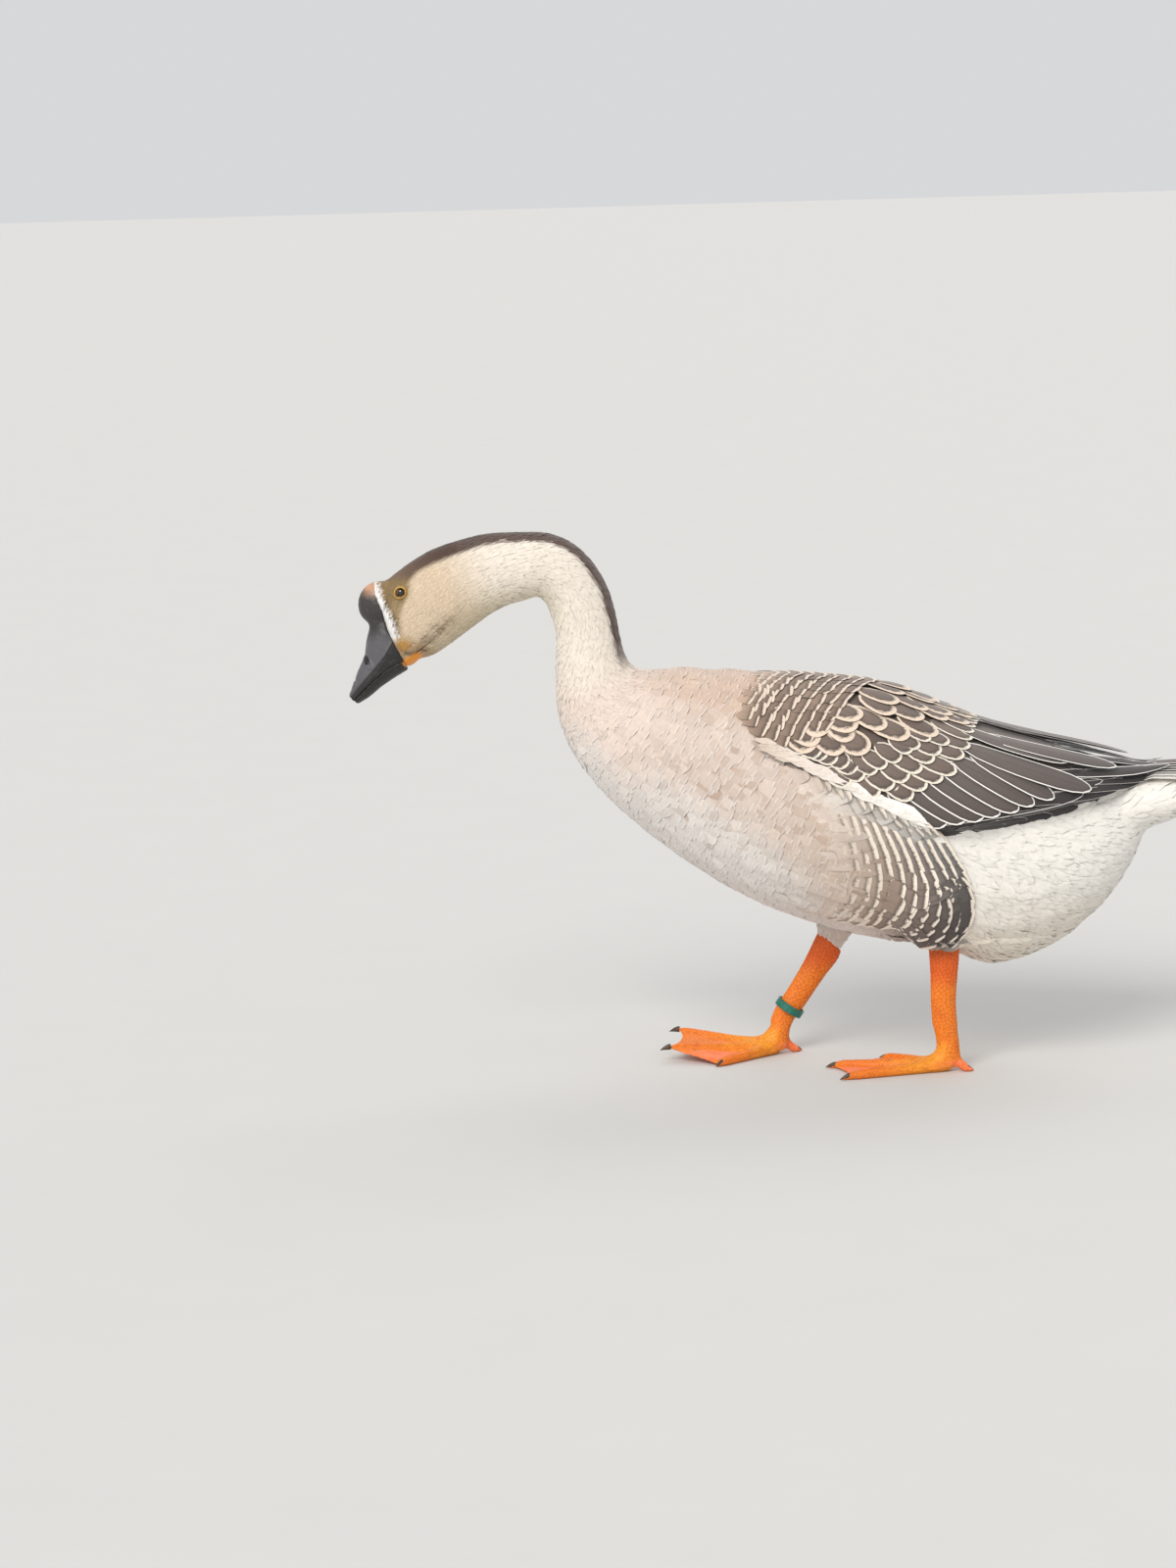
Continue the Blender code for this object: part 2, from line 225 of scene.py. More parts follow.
# Meshes pass between functions as points, face sizes and the faces' corners in one row

def newPiece(name, points, sizes, corners):
    mesh = bpy.data.meshes.new(name)
    mesh.vertices.add(len(points))
    mesh.vertices.foreach_set("co", np.ascontiguousarray(points, np.float32).ravel())
    mesh.loops.add(len(corners))
    mesh.loops.foreach_set("vertex_index", np.asarray(corners, np.int32))
    mesh.polygons.add(len(sizes))
    mesh.polygons.foreach_set("loop_start", (np.cumsum(sizes) - sizes).astype(np.int32))
    mesh.update(calc_edges=True)
    mesh.shade_smooth()
    piece = bpy.data.objects.new(name, mesh)
    bpy.context.scene.collection.objects.link(piece)
    return piece


def paint(piece, name, colours):  # a colour kept at each point
    colours = np.column_stack([np.clip(colours, 0, 1), np.ones(len(colours))])
    layer = piece.data.color_attributes.new(name, "FLOAT_COLOR", "POINT")
    layer.data.foreach_set("color", colours.astype(np.float32).ravel())


def keep(piece, name, values):  # a number kept at each point
    layer = piece.data.attributes.new(name, "FLOAT", "POINT")
    layer.data.foreach_set("value", np.asarray(values, np.float32))


def layOut(piece, places, corners):  # the coat's UV map, from one place for each point
    layer = piece.data.uv_layers.new(name="OFBake")
    layer.data.foreach_set("uv", places[corners].astype(np.float32).ravel())


def dress(piece, finish, slot, *replaced):
    piece.data.materials.append(finish.material)
    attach(piece, "root")
    if replaced:
        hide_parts(*replaced)


def readMesh(mesh):
    points = np.zeros(len(mesh.vertices) * 3, np.float32)
    normals = np.zeros(len(mesh.vertices) * 3, np.float32)
    mesh.vertices.foreach_get("co", points)
    mesh.vertices.foreach_get("normal", normals)
    sizes = np.zeros(len(mesh.polygons), np.int32)
    mesh.polygons.foreach_get("loop_total", sizes)
    corners = np.zeros(len(mesh.loops), np.int32)
    mesh.loops.foreach_get("vertex_index", corners)
    return points.reshape(-1, 3).astype(float), normals.reshape(-1, 3).astype(float), sizes, corners


def joined(names, spread, *more):  # one mesh of CAD solids grown by spread, so that they overlap, and more
    solids = []
    for name in names:
        points, normals, sizes, corners = readMesh(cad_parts[name].data)
        solids.append((points + normals * spread, sizes, corners))
    solids += more
    starts = np.cumsum([0] + [len(solid[0]) for solid in solids])
    points, sizes, corners = zip(*solids)
    corners = [part + start for part, start in zip(corners, starts)]
    return np.concatenate(points), np.concatenate(sizes), np.concatenate(corners)


def clamped(name, spread, *planes):  # a CAD solid pressed flat where it passes planes, each a place and a way
    points, sizes, corners = joined([name], spread)
    for place, way in planes:
        way = unit(np.array(way, float))
        points = points - np.maximum((points - np.array(place)) @ way, 0)[:, None] * way
    return points, sizes, corners


def edgesOf(sizes, corners):
    starts = np.cumsum(sizes) - sizes
    follow = np.arange(len(corners)) + 1
    follow[starts + sizes - 1] = starts
    return corners, corners[follow]


def neighbourSum(values, edges):
    first, second = edges
    count = len(values)
    return np.column_stack([
        np.bincount(first, column[second], count) + np.bincount(second, column[first], count)
        for column in values.T
    ])


def eased(points, edges, share, rounds):  # each point goes its share of the way to its neighbours' middle
    neighbours = neighbourSum(np.ones((len(points), 1)), edges)
    for _ in range(rounds):
        points = points + (neighbourSum(points, edges) / neighbours - points) * share[:, None]
    return points


def remade(name, solid, grain, passes):  # one even, smooth surface round a rough solid
    rough = newPiece(name, *solid)
    remesh = rough.modifiers.new("even", "REMESH")
    remesh.mode, remesh.voxel_size = "VOXEL", grain
    smooth = rough.modifiers.new("smooth", "SMOOTH")
    smooth.iterations = passes
    bpy.context.view_layer.update()
    made = rough.evaluated_get(bpy.context.evaluated_depsgraph_get()).to_mesh()
    found = readMesh(made)
    bpy.data.objects.remove(rough)
    return found


def treeOf(points, sizes, corners):
    faces = np.split(corners, np.cumsum(sizes)[:-1])
    return BVHTree.FromPolygons([tuple(p) for p in points], [tuple(int(i) for i in f) for f in faces])


def normalsOf(points, sizes, corners):
    piece = newPiece("probe", points, sizes, corners)
    normals = readMesh(piece.data)[1]
    bpy.data.objects.remove(piece)
    return normals


print("body line")
# Head to tail: x, z and half height of the body in millimetres
bodyLine = dict(
    stations=[
        (-402, 416, 22), (-384, 424, 33), (-356, 441, 42), (-329, 458, 42), (-301, 472, 38),
        (-270, 481, 34), (-237, 482, 31), (-219, 472, 31), (-205, 448, 31), (-199, 422, 31),
        (-196, 392, 36), (-188, 360, 45), (-171, 338, 57), (-142, 317, 72), (-87, 285, 92),
        (-28, 261, 108), (37, 244, 118), (97, 233, 118), (165, 212, 116), (216, 204, 98),
        (268, 212, 68), (305, 230, 42), (352, 253, 25), (421, 270, 8),
    ],
    samples=220,
)


def makeBodyLine():
    rows = np.array(bodyLine["stations"], float) * mm
    padded = np.vstack([2 * rows[0] - rows[1], rows, 2 * rows[-1] - rows[-2]])
    share = np.linspace(0, len(rows) - 1.0001, bodyLine["samples"])
    first = share.astype(int)
    t = (share - first)[:, None]
    before, start, end, after = (padded[first + step] for step in range(4))
    curve = (
        start + (end - before) / 2 * t + (before - 2.5 * start + 2 * end - after / 2) * t**2
        + (3 * start - before - 3 * end + after) / 2 * t**3
    )
    flat = np.column_stack([curve[:, 0], np.zeros(len(curve)), curve[:, 1]])
    tangent = unit(np.gradient(flat, axis=0))
    steps = np.linalg.norm(np.diff(flat, axis=0), axis=1)
    return flat, tangent, curve[:, 2], np.concatenate([[0], np.cumsum(steps)])


linePoints, lineTangents, lineRadii, lineLengths = makeBodyLine()
wholeLength = lineLengths[-1]


def onBody(points):  # how far along the body, angle round it from the back's middle, and the way aft
    nearest = np.zeros(len(points), int)
    batch = 20000  # so that many points don't fill the memory
    for start in range(0, len(points), batch):
        away = points[start:start + batch, None, :] - linePoints[None]
        nearest[start:start + batch] = (np.linalg.norm(away, axis=2) / lineRadii).argmin(1)
    tangent = lineTangents[nearest]
    out = points - linePoints[nearest]
    reach = dot(out, tangent)[:, 0]
    along = lineLengths[nearest] + np.clip(reach, -4 * mm, 4 * mm)
    upward = np.column_stack([-tangent[:, 2], np.zeros(len(points)), tangent[:, 0]])
    return along, np.arctan2(out[:, 1], dot(out, upward)[:, 0]), tangent


def stationAt(x, z):  # how far along the body a place is, given in millimetres
    return onBody(np.array([(x * mm, 0, z * mm)]))[0][0]


print("markings")
eyeAt = (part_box("eye_right")[0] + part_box("eye_right")[1]) / 2 / mm
# Places on the head from the side, x and height in millimetres from the middle of the eye
headMarks = dict(
    bandRear=[(-46, -3), (-39, -5), (-28, -7.5), (-13, -15), (5, -21), (12, -21.5)],  # height, then x
    loreRear=[(-38, 0), (-28, -1), (-14, 1), (-8, 6), (0, 8.5), (12, 9)],  # height, then x
    jawShadeAndMud=[(16, -54), (29, -41), (42, -30), (56, -21)], gape=[(2, -57), (9, -58), (16, -56)],
    fold=(0.5, -50.5), foldSize=(6.5, 6.5),
    nostril=(-34.3, -64.3),
    mouth=[(14, -56), (2.9, -63.9), (-13.2, -71.5), (-26.5, -82.1), (-39.8, -93.7), (-52, -103)],
    shoulderLine=[(-6, -42), (-16.7, -59.4), (-28.1, -73.1), (-41.5, -87.7), (-50, -98)],
    orange=[(13, -62), (4, -67)], orangeHalf=5.2, chin=(17, -71),
)
coatTones = dict(
    neck=tone(232, 222, 208), cheek=tone(213, 192, 165), under=tone(200, 188, 154),
    crown=tone(112, 90, 72), stripe=tone(74, 50, 38),
    lore=tone(134, 110, 66), bandShadow=tone(58, 46, 38), band=tone(246, 243, 240), mudAndShade=tone(92, 60, 36),
    throat=tone(176, 138, 88), orange=tone(232, 146, 34), fold=tone(176, 130, 62),
    chest=tone(222, 203, 190), breast=tone(211, 194, 181), belly=tone(226, 219, 212),
    tuftShadow=tone(168, 134, 110), back=tone(201, 173, 151), gape=tone(38, 28, 22),
    flankPale=tone(196, 172, 150), flankDark=tone(84, 68, 60),
    wing=tone(104, 90, 82), wingEdge=tone(50, 44, 44), vent=tone(238, 234, 226),
    ventLow=tone(216, 203, 180), thigh=tone(218, 206, 196),
)
stripe = dict(  # half width round the neck, in radians, at places along it
    halves=[(-392, 428, 0.62), (-368, 434, 0.72), (-350, 444, 0.64), (-337, 452, 0.50), (-315, 466, 0.58),
            (-270, 481, 0.61), (-219, 472, 0.68), (-198, 420, 0.66), (-180, 352, 0.6)],
    soft=0.09, ends=(stationAt(-172, 404), stationAt(-158, 392)),
)
stripeHalves = sorted((stationAt(x, z), half) for x, z, half in stripe["halves"])
nape, neckStem = (-301, 472), (-199, 422)  # two stations, each an x and a height in millimetres
backShape = dict(  # above low, in mm, the back is at these shares of its solids' height, along x
    low=255,
    shares=[(-135, 1), (-98, 1.044), (-71, 1.033), (-26, 0.963), (4, 0.945), (76, 0.939), (98, 0.923),
            (121, 0.884), (148, 0.853), (174, 0.80), (258, 0.79), (330, 0.78), (420, 1)],
)
# Lines on the side of the body, x and height in millimetres
flankEdge = [(-30, 321), (-8, 309), (29, 289), (60, 272), (106, 248), (122, 232)]  # where the wing tucks in
wingLow = [(60, 200), (119, 243), (157, 248), (189, 253), (232, 262), (306, 270), (346, 268)]  # quill tips
whiteLine = [(-200, 330), (-178, 292), (-120, 282), (-81, 262), (-43, 226), (20, 190), (60, 150)]
ventFront = [(130, 134), (150, 143), (188, 144), (223, 131), (250, 108), (300, 108)]  # height, then x
# How near a solid the skin counts as on it, and the bounds of that part of the skin
wingPatch = dict(near=4.2 * mm, front=-38, under=13)
thighPatch = dict(near=5.5 * mm, top=140 * mm, inner=25 * mm)


def settledHigh(x, high):
    low = backShape["low"]
    return np.where(high > low, low + (high - low) * readLine(x, backShape["shares"]), high)


def settled(points, sizes, corners):  # a solid with its back as low as the closed wings lie
    return np.column_stack([points[:, :2], settledHigh(*points[:, [0, 2]].T / mm) * mm]), sizes, corners


wingTree = treeOf(*settled(*joined(["wing_left", "wing_right"], 0)))
thighTree = treeOf(*joined(["thigh_right"], 0))


def gapsTo(tree, points):
    return np.array([tree.find_nearest(p)[3] for p in points])


def onThigh(points):  # the part of the right thigh that stands clear of the belly
    low = (points[:, 2] < thighPatch["top"]) & (points[:, 1] > thighPatch["inner"])
    return (gapsTo(thighTree, points) < thighPatch["near"]) & low


def onWing(points):
    x, _, z = (points / mm).T
    above = (x > wingPatch["front"]) & (z > readLine(x, flankEdge) - wingPatch["under"])
    return (gapsTo(wingTree, points) < wingPatch["near"]) & above


def headFlat(points):  # side view places measured from the eye, in millimetres
    return points[:, 0] / mm - eyeAt.x, points[:, 2] / mm - eyeAt.z


def nearLine(points, line):  # distance in millimetres from a side view line measured from the eye
    flat = points[:, [0, 2]] / mm - np.array([eyeAt.x, eyeAt.z])
    best = np.full(len(flat), np.inf)
    for start, end in zip(np.array(line, float), np.array(line[1:], float)):
        run = end - start
        share = np.clip((flat - start) @ run / (run @ run), 0, 1)
        best = np.minimum(best, np.linalg.norm(flat - start - share[:, None] * run, axis=1))
    return best


def ripple(points, size):  # soft seamless noise from -1 to 1, for edges that wander
    spots = points / size
    total = np.zeros(len(points))
    waves = [(1.0, 0.7, 1.3), (1.9, -1.4, 0.8), (-2.6, 2.3, 2.9), (3.7, 4.3, -3.1)]  # along x, y and z
    for turn, (a, b, c) in enumerate(waves):
        bent = 1.7 * np.sin(spots[:, 1] * b + turn)
        total += np.sin(spots[:, 0] * a + bent + spots[:, 2] * c + 2.1 * turn)
    return total / len(waves)


def between(along, start, end):  # from 0 to 1 between two stations of the body, each an x and a height
    return ease(along, stationAt(*start), stationAt(*end))


def markings(points, along, around, winged=True):  # the goose's own colours with some painted shade and shadow in them, for skin and coat alike
    colours = frontMarks(points, along, around)
    colours = rearMarks(colours, points, along, around, winged)
    colours = stripeMark(colours, points, along, around)
    return faceMarks(colours, points, along)


def frontMarks(points, along, around):  # the cheek, the neck, the breast with painted shadow lines, and the belly
    tones = coatTones
    x, _, z = (points / mm).T
    atStem = stationAt(*neckStem)
    colours = np.tile(tones["cheek"], (len(points), 1))
    colours = blendTo(colours, tones["neck"], between(along, (-330, 458), (-275, 480)))
    # The neck's underside is painted a greenish grey: painted shade
    below = ease(np.abs(around), 1.7, 2.9) * ease(atStem - along, 0, 0.06)
    colours = blendTo(colours, tones["under"], 0.55 * below)
    colours = blendTo(colours, tones["chest"], between(along, (-197, 405), (-175, 342)))
    colours = blendTo(colours, tones["breast"], between(along, (-165, 333), (-110, 298)))
    white = ease(readLine(x, whiteLine) - z + 7 * ripple(points, 16 * mm), -26, 26)
    colours = blendTo(colours, tones["belly"], white * between(along, neckStem, (-180, 350)))
    # The streaks are painted shadow lines between the breast's tufts, in a tan
    lean = (x * 0.94 + z * 0.34) / 9.5 + 0.45 * ripple(points, 15 * mm)  # the shadow lines slant
    streaks = ease(np.sin(lean * 2 * math.pi) + 0.9 * ripple(points, 6 * mm), 0.35, 1.2)
    streaks = streaks * ease(x, -150, -110) * ease(40 - x, 0, 40) * ease(z, 215, 250) * ease(345 - z, 0, 40)
    return blendTo(colours, tones["tuftShadow"], 0.6 * streaks)


def rearMarks(colours, points, along, around, winged):  # the flanks, back, vent, wings and thigh
    tones = coatTones
    x, y, z = (points / mm).T
    flank = ease(x, -40, 40) * between(along, (-120, 300), (-40, 262))
    flankTone = blendTo(np.tile(tones["flankPale"], (len(points), 1)), tones["flankDark"], ease(x, 20, 118))
    low = ease(z, 120, 190) + ease(x, 40, 90)
    colours = blendTo(colours, flankTone, flank * np.clip(low, 0, 1) * ease(np.abs(around), 0.5, 1.0))
    aft = 0.75 * ease(x, -170, -130) + 0.25 * ease(x, -90, -40)
    onTop = ease(1.1 - np.abs(around), 0, 0.5) * between(along, (-185, 358), (-165, 335))
    colours = blendTo(colours, tones["back"], aft * onTop)
    vent = ease(x - readLine(z, ventFront), -13, -7)
    colours = blendTo(colours, tones["vent"], vent)
    # The vent is painted darker and yellower towards the bottom
    towardsBottom = ease(190 - z + 12 * ripple(points, 20 * mm), 0, 70)
    colours = blendTo(colours, tones["ventLow"], vent * towardsBottom * 0.55)
    if winged:
        wing = onWing(points)
        colours[wing] = tones["wing"]
        colours[wing & (z < readLine(x, wingLow))] = tones["wingEdge"]
    thigh = ease(140 - z, -4, 10) * ease(x, -10, 8) * ease(75 - x, -6, 10) * (y > 25)
    return blendTo(colours, tones["thigh"], thigh)


def stripeMark(colours, points, along, around):  # the dark stripe from the crown down the back of the neck
    turned = np.abs(around) + 0.05 * ripple(points, 9 * mm)
    inStripe = ease(readLine(along, stripeHalves) - turned, -stripe["soft"], stripe["soft"])
    inStripe = inStripe * (1 - ease(along, *stripe["ends"]))
    dark = np.tile(coatTones["crown"], (len(points), 1))
    dark = blendTo(dark, coatTones["stripe"], between(along, (-362, 440), (-315, 466)))
    return colours + (dark - colours) * inStripe[:, None]


def faceMarks(colours, points, along):
    tones, marks = coatTones, headMarks
    x, z = headFlat(points)
    onHead = ease(stationAt(*nape) - along, 0, 0.03)
    throat = ease(-44 - z - 0.55 * (x - 20), 0, 12) * ease(46 - x, 0, 20)
    colours = blendTo(colours, tones["throat"], onHead * throat * 0.7)
    blot = 3.5 * ripple(points, 3.5 * mm) + 2 * ripple(points, 1.4 * mm)
    # A brown line down the jaw's dewlap: painted shade of its fold, and mud
    mudAndShade = ease(9 - nearLine(points, marks["jawShadeAndMud"]) + 2.2 * blot, 0, 14) * ease(66 - x, 0, 34)
    colours = blendTo(colours, tones["mudAndShade"], onHead * mudAndShade * 0.9)
    gape = ease(2.4 - nearLine(points, marks["gape"]), 0, 1.6)
    colours = blendTo(colours, tones["gape"], onHead * gape * 0.85)
    rear = readLine(z, marks["bandRear"]) + 0.5 * ripple(points, 2.5 * mm)
    lore = ease(readLine(z, marks["loreRear"]) - x + 1.5 * ripple(points, 3 * mm), -2, 2.5)
    lore = lore * ease(z, -40, -32) * ease(16 - z, 0, 8)
    colours = blendTo(colours, tones["lore"], onHead * lore * 0.85)
    # A dark line just behind the white band: painted shadow
    edge = ease(4.5 - (x - rear), 0, 3) * ease(-2 - z, 0, 10) * ease(z, -43, -36)
    colours = blendTo(colours, tones["bandShadow"], onHead * edge * 0.85)
    band = ease(rear - x, -0.6, 0.6) * ease(z, -46, -44)
    colours = blendTo(colours, tones["band"], onHead * band)
    return facePatches(colours, points, onHead)


def facePatches(colours, points, onHead):  # the bare orange corner under the gape and the fold over it
    orange, fold = barePatches(points)
    colours = blendTo(colours, coatTones["fold"], onHead * ease(fold, 0, 0.3))
    return blendTo(colours, coatTones["orange"], onHead * ease(orange, 0, 1.2))


def barePatches(points):  # how far inside the orange corner and the fold each point is
    x, z = headFlat(points)
    (foldX, foldZ), (long, high) = headMarks["fold"], headMarks["foldSize"]
    fold = 1 - np.hypot((x - foldX) / long, (z - foldZ) / high)
    return headMarks["orangeHalf"] - nearLine(points, headMarks["orange"]), fold


leg = dict(  # in millimetres and degrees
    grain=1.0 * mm, passes=5, overlap=0.5 * mm, scute=3.0, groove=0.45, webSwell=0.22,
    ankleTop=46, webTop=14, soleTop=2.2, upperFrom=(76, 96), toeHalf=(6, 10),  # where these end, up or out
    heading=13, toes=[(-30, 79), (0, 112), (29, 103)],  # each toe's turn from the heading, and its length
    ankles={"left": (127, -48), "right": (-28, 48)},
    bare=13,  # how far above the left shank the bare skin reaches
    stretch=14, rise={"left": (0, 19), "right": (5, 10)},  # the top is drawn on into the coat, aft and up
)
skinShape = dict(
    nodes=["head", "neck_upper", "neck_middle", "neck_lower", "trunk", "thigh_left", "thigh_right",
           "wing_left", "wing_right", "tail"],
    overlap=0.6 * mm, grain=2.8 * mm, passes=8,
    # How deep the coat is, in millimetres, at shares of the body's length
    coat=[(0, 1.0), (0.10, 1.4), (0.16, 2.0), (0.34, 2.6), (0.5, 4.0), (0.9, 4.0), (1.0, 1.5)],
    thinCoat=2.5 * mm, thinBelow=125 * mm,  # it is no deeper than this on the wings and on the thighs
    foreheadPlanes=[((-27, 0, 5), (-0.972, 0, -0.238)), ((-22.6, 0, -13), (-0.78, 0, -0.63))],
    foreheadOver=2.4 * mm,  # the feathers' edge stands over the knob's rear
    chinIn=4.5 * mm, chinWide=11,
    foldOut=1.3 * mm, cornerOut=1.0 * mm,  # how far the bare skin under the gape stands out
)


def makeSkin():
    eyePlace = np.array([eyeAt.x, 0, eyeAt.z])
    planes = [((eyePlace + offset) * mm, way) for offset, way in skinShape["foreheadPlanes"]]
    forehead = clamped("knob", skinShape["foreheadOver"], *planes)
    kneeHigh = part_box("shank_left")[1].z + leg["bare"] * mm
    thigh = clamped("thigh_left", skinShape["overlap"], ((0, 0, kneeHigh), (0, 0, -1)))
    whole = [name for name in skinShape["nodes"] if name != "thigh_left"]
    solid = settled(*joined(whole + ["eye_left", "eye_right"], skinShape["overlap"], forehead, thigh))
    points, normals, sizes, corners = remade("skin", solid, skinShape["grain"], skinShape["passes"])
    along = onBody(points)[0]
    depth = readLine(along / wholeLength, skinShape["coat"]) * mm
    thin = onWing(points) | (points[:, 2] < skinShape["thinBelow"])
    depth = np.where(thin, np.minimum(depth, skinShape["thinCoat"]), depth)
    x, z = headFlat(points)
    chinX, chinZ = headMarks["chin"]
    fromChin = (x - chinX) ** 2 + (z - chinZ) ** 2
    depth += skinShape["chinIn"] * np.exp(-fromChin / skinShape["chinWide"] ** 2)
    orange, fold = barePatches(points)
    out = skinShape["foldOut"] * ease(fold, 0, 0.6) + skinShape["cornerOut"] * ease(orange, 0, 2)
    depth -= np.where(z < -30, out, 0)
    return points - normals * depth[:, None], sizes, corners


plumage = dict(
    rough=0.78, sheen=0.25, sheenRough=0.5, patches=260, mottle=0.07,
    mottleTone=tone(60, 48, 40), shadeTone=tone(50, 42, 38), shaftTone=tone(46, 38, 34),
    barbs=60, barbSlant=9,  # along a vane, and how many of them its side is ahead of its middle
)


def plumageFinish(name):
    finish = Finish(
        name, Roughness=plumage["rough"],
        Sheen_Weight=plumage["sheen"], Sheen_Roughness=plumage["sheenRough"],
    )
    colour = finish.stored("markings", "Color")
    patch = finish.noise(plumage["patches"], 3)
    mottled = finish.between(patch, 0.35, 0.7) * plumage["mottle"]
    return finish, finish.mix(mottled, colour, rgba(plumage["mottleTone"])), patch


def skinFinish():
    finish, colour, patch = plumageFinish("down over skin")
    finish.wear(Base_Color=colour, Normal=finish.bump(patch, 0.6 * mm))
    return finish


def vaneFinish(name, shaft, shade, soft):  # vanes with a rim, a darker zone in it, a shaft and fine barbs
    finish, colour, patch = plumageFinish(name)
    edge, rim = finish.stored("edge"), finish.stored("rim")
    across, along = finish.stored("across"), finish.stored("lengthways")
    inside = finish.between(edge, rim * (1 - soft), rim * (1 + soft) + 0.05)
    ruffled = finish.noise(420, 2)
    inside = finish.between(inside + (ruffled - 0.5) * soft, 0.2, 0.8)
    shaded = finish.between(edge, rim * 1.2, rim * 1.2 + 3.5)
    shaded = (1 - shaded) * shade * finish.between(rim, 0.2, 0.8)
    colour = finish.mix(shaded, colour, rgba(plumage["shadeTone"]))
    colour = finish.mix(1 - inside, colour, finish.stored("rimTone", "Color"))
    barb = finish.maths("SINE", (along * plumage["barbs"] + across * plumage["barbSlant"]) * 6.283)
    if shaft:  # how dark the line down the middle is
        line = finish.between(finish.maths("ABSOLUTE", across), 0.02, 0.07)
        colour = finish.mix((1 - line) * shaft, colour, rgba(plumage["shaftTone"]))
    height = barb * 0.08 + patch
    finish.wear(Base_Color=colour, Normal=finish.bump(height, 0.25 * mm))
    return finish


bill = dict(  # places are x and height from the eye, and sizes are in millimetres
    grain=0.75 * mm, passes=12, overlap=0.35 * mm, grit=0.12,
    nostrilLong=4.0, nostrilHigh=1.9, nostrilDeep=1.7, nostrilLean=0.5, nostrilEdge=0.5,
    ridge=0.35, ridgeFoot=0.45, ridgeBelow=-44,  # along the shoulder line
    tip=(-50, -98), nailFrom=15, nailHigh=0.7, nailGroove=0.5, nailHalf=6.5,
    comb=0.3, combStep=2.0, combOver=2.0, combBelow=-62,  # fine ribs over the mouth line
    waist=(-29, -33), waistWide=9, waistShare=0.9, waistRounds=120,  # where the knob runs into the bill
)
billTones = dict(
    dark=tone(38, 36, 37), sheenGrey=tone(92, 90, 94), knob=tone(52, 47, 46), peach=tone(206, 156, 122),
    low=tone(24, 22, 22), mouthShade=tone(12, 10, 10), nostril=tone(8, 7, 7),
    blotch=tone(96, 92, 92), grain=tone(14, 13, 13),
)


def shoulderHeight(x):  # of the ridge along the bill's side
    return readLine(x, sorted(headMarks["shoulderLine"]))


def billColours(points):
    x, z = headFlat(points)
    tones, marks = billTones, headMarks
    boundary = shoulderHeight(x)
    colours = np.tile(tones["dark"], (len(points), 1))
    # The upper bill's top is painted grey: a painted sheen on the black horn
    colours = blendTo(colours, tones["sheenGrey"], ease(z - boundary, -1.5, 2.5) * ease(-36 - z, -4, 14) * 0.85)
    colours = blendTo(colours, tones["low"], ease(boundary - z, 0, 3))
    colours = blendTo(colours, tones["knob"], ease(z, -40, -24))
    top = ease(z, -8, 5) * ease(x, -40, -31)
    colours = blendTo(colours, tones["peach"], top * 0.9)
    # A near black line along the mouth: painted shade of the slit between the two mandibles
    colours = blendTo(colours, tones["mouthShade"], ease(1.6 - nearLine(points, marks["mouth"]), 0, 1))
    colours = facePatches(colours, points, 1)
    # The nostril's pit is painted near black: painted shade for the hole's depth
    nostrilX, nostrilZ = marks["nostril"]
    nostril = np.hypot((x - nostrilX) / 2.4, (z - nostrilZ) / 4.2)
    return blendTo(colours, tones["nostril"], ease(1.25 - nostril, 0, 0.5) * (np.abs(points[:, 1]) > 3 * mm))


def sculptBill(points, normals, upper):
    x, z = headFlat(points)
    side = np.abs(points[:, 1]) / mm
    push = np.zeros(len(points))  # outwards, in millimetres
    if upper:
        nostrilX, nostrilZ = headMarks["nostril"]
        onSide = ease(side, 3, 6)
        leaned = x - nostrilX + bill["nostrilLean"] * (z - nostrilZ)
        nostril = np.hypot(leaned / bill["nostrilHigh"], (z - nostrilZ) / bill["nostrilLong"])
        push -= bill["nostrilDeep"] * ease(1.5 - nostril, 0, 1.1) * onSide
        push += bill["nostrilEdge"] * hump(nostril - 1.75, 0.35) * onSide
        over, ridged = z - shoulderHeight(x), ease(bill["ridgeBelow"] - z, 0, 8)
        push += bill["ridge"] * hump(over - 1.5, 1.6) * ridged
        push -= bill["ridgeFoot"] * hump(over + 2.2, 1.5) * ridged
        tipX, tipZ = bill["tip"]
        fromTip, within = np.hypot(x - tipX, z - tipZ), bill["nailHalf"] - side
        push += bill["nailHigh"] * ease(bill["nailFrom"] - fromTip, 0, 2.5) * ease(within, 0, 2)
        push -= bill["nailGroove"] * hump(fromTip - bill["nailFrom"], 1.0) * ease(within + 1, 0, 2)
    gap = nearLine(points, headMarks["mouth"])
    alongMouth = x * 0.62 + z * 0.79
    comb = np.sin(alongMouth * 2 * math.pi / bill["combStep"])
    push += bill["comb"] * comb * hump(gap - bill["combOver"], 1.3) * ease(bill["combBelow"] - z, 0, 8)
    push += bill["grit"] * ripple(points, 1.6 * mm)
    return points + normals * (push * mm)[:, None]


def hornFinish():
    finish = Finish("bill horn", Specular_IOR_Level=0.5, Coat_Roughness=0.35)
    colour = finish.stored("markings", "Color")
    blotch, grain = finish.noise(190, 4), finish.noise(900, 3)
    colour = finish.mix(finish.between(blotch, 0.5, 0.75) * 0.4, colour, rgba(billTones["blotch"]))
    colour = finish.mix(finish.between(grain, 0.55, 0.7) * 0.3, colour, rgba(billTones["grain"]))
    pores = finish.cells(1300)
    height = grain * 0.5 + pores * 0.4 + blotch
    finish.wear(
        Base_Color=colour, Roughness=finish.between(blotch, 0.3, 0.7, 0.36, 0.55),
        Coat_Weight=finish.between(blotch, 0.4, 0.7, 0.25, 0.05), Normal=finish.bump(height, 0.25 * mm),
    )
    return finish


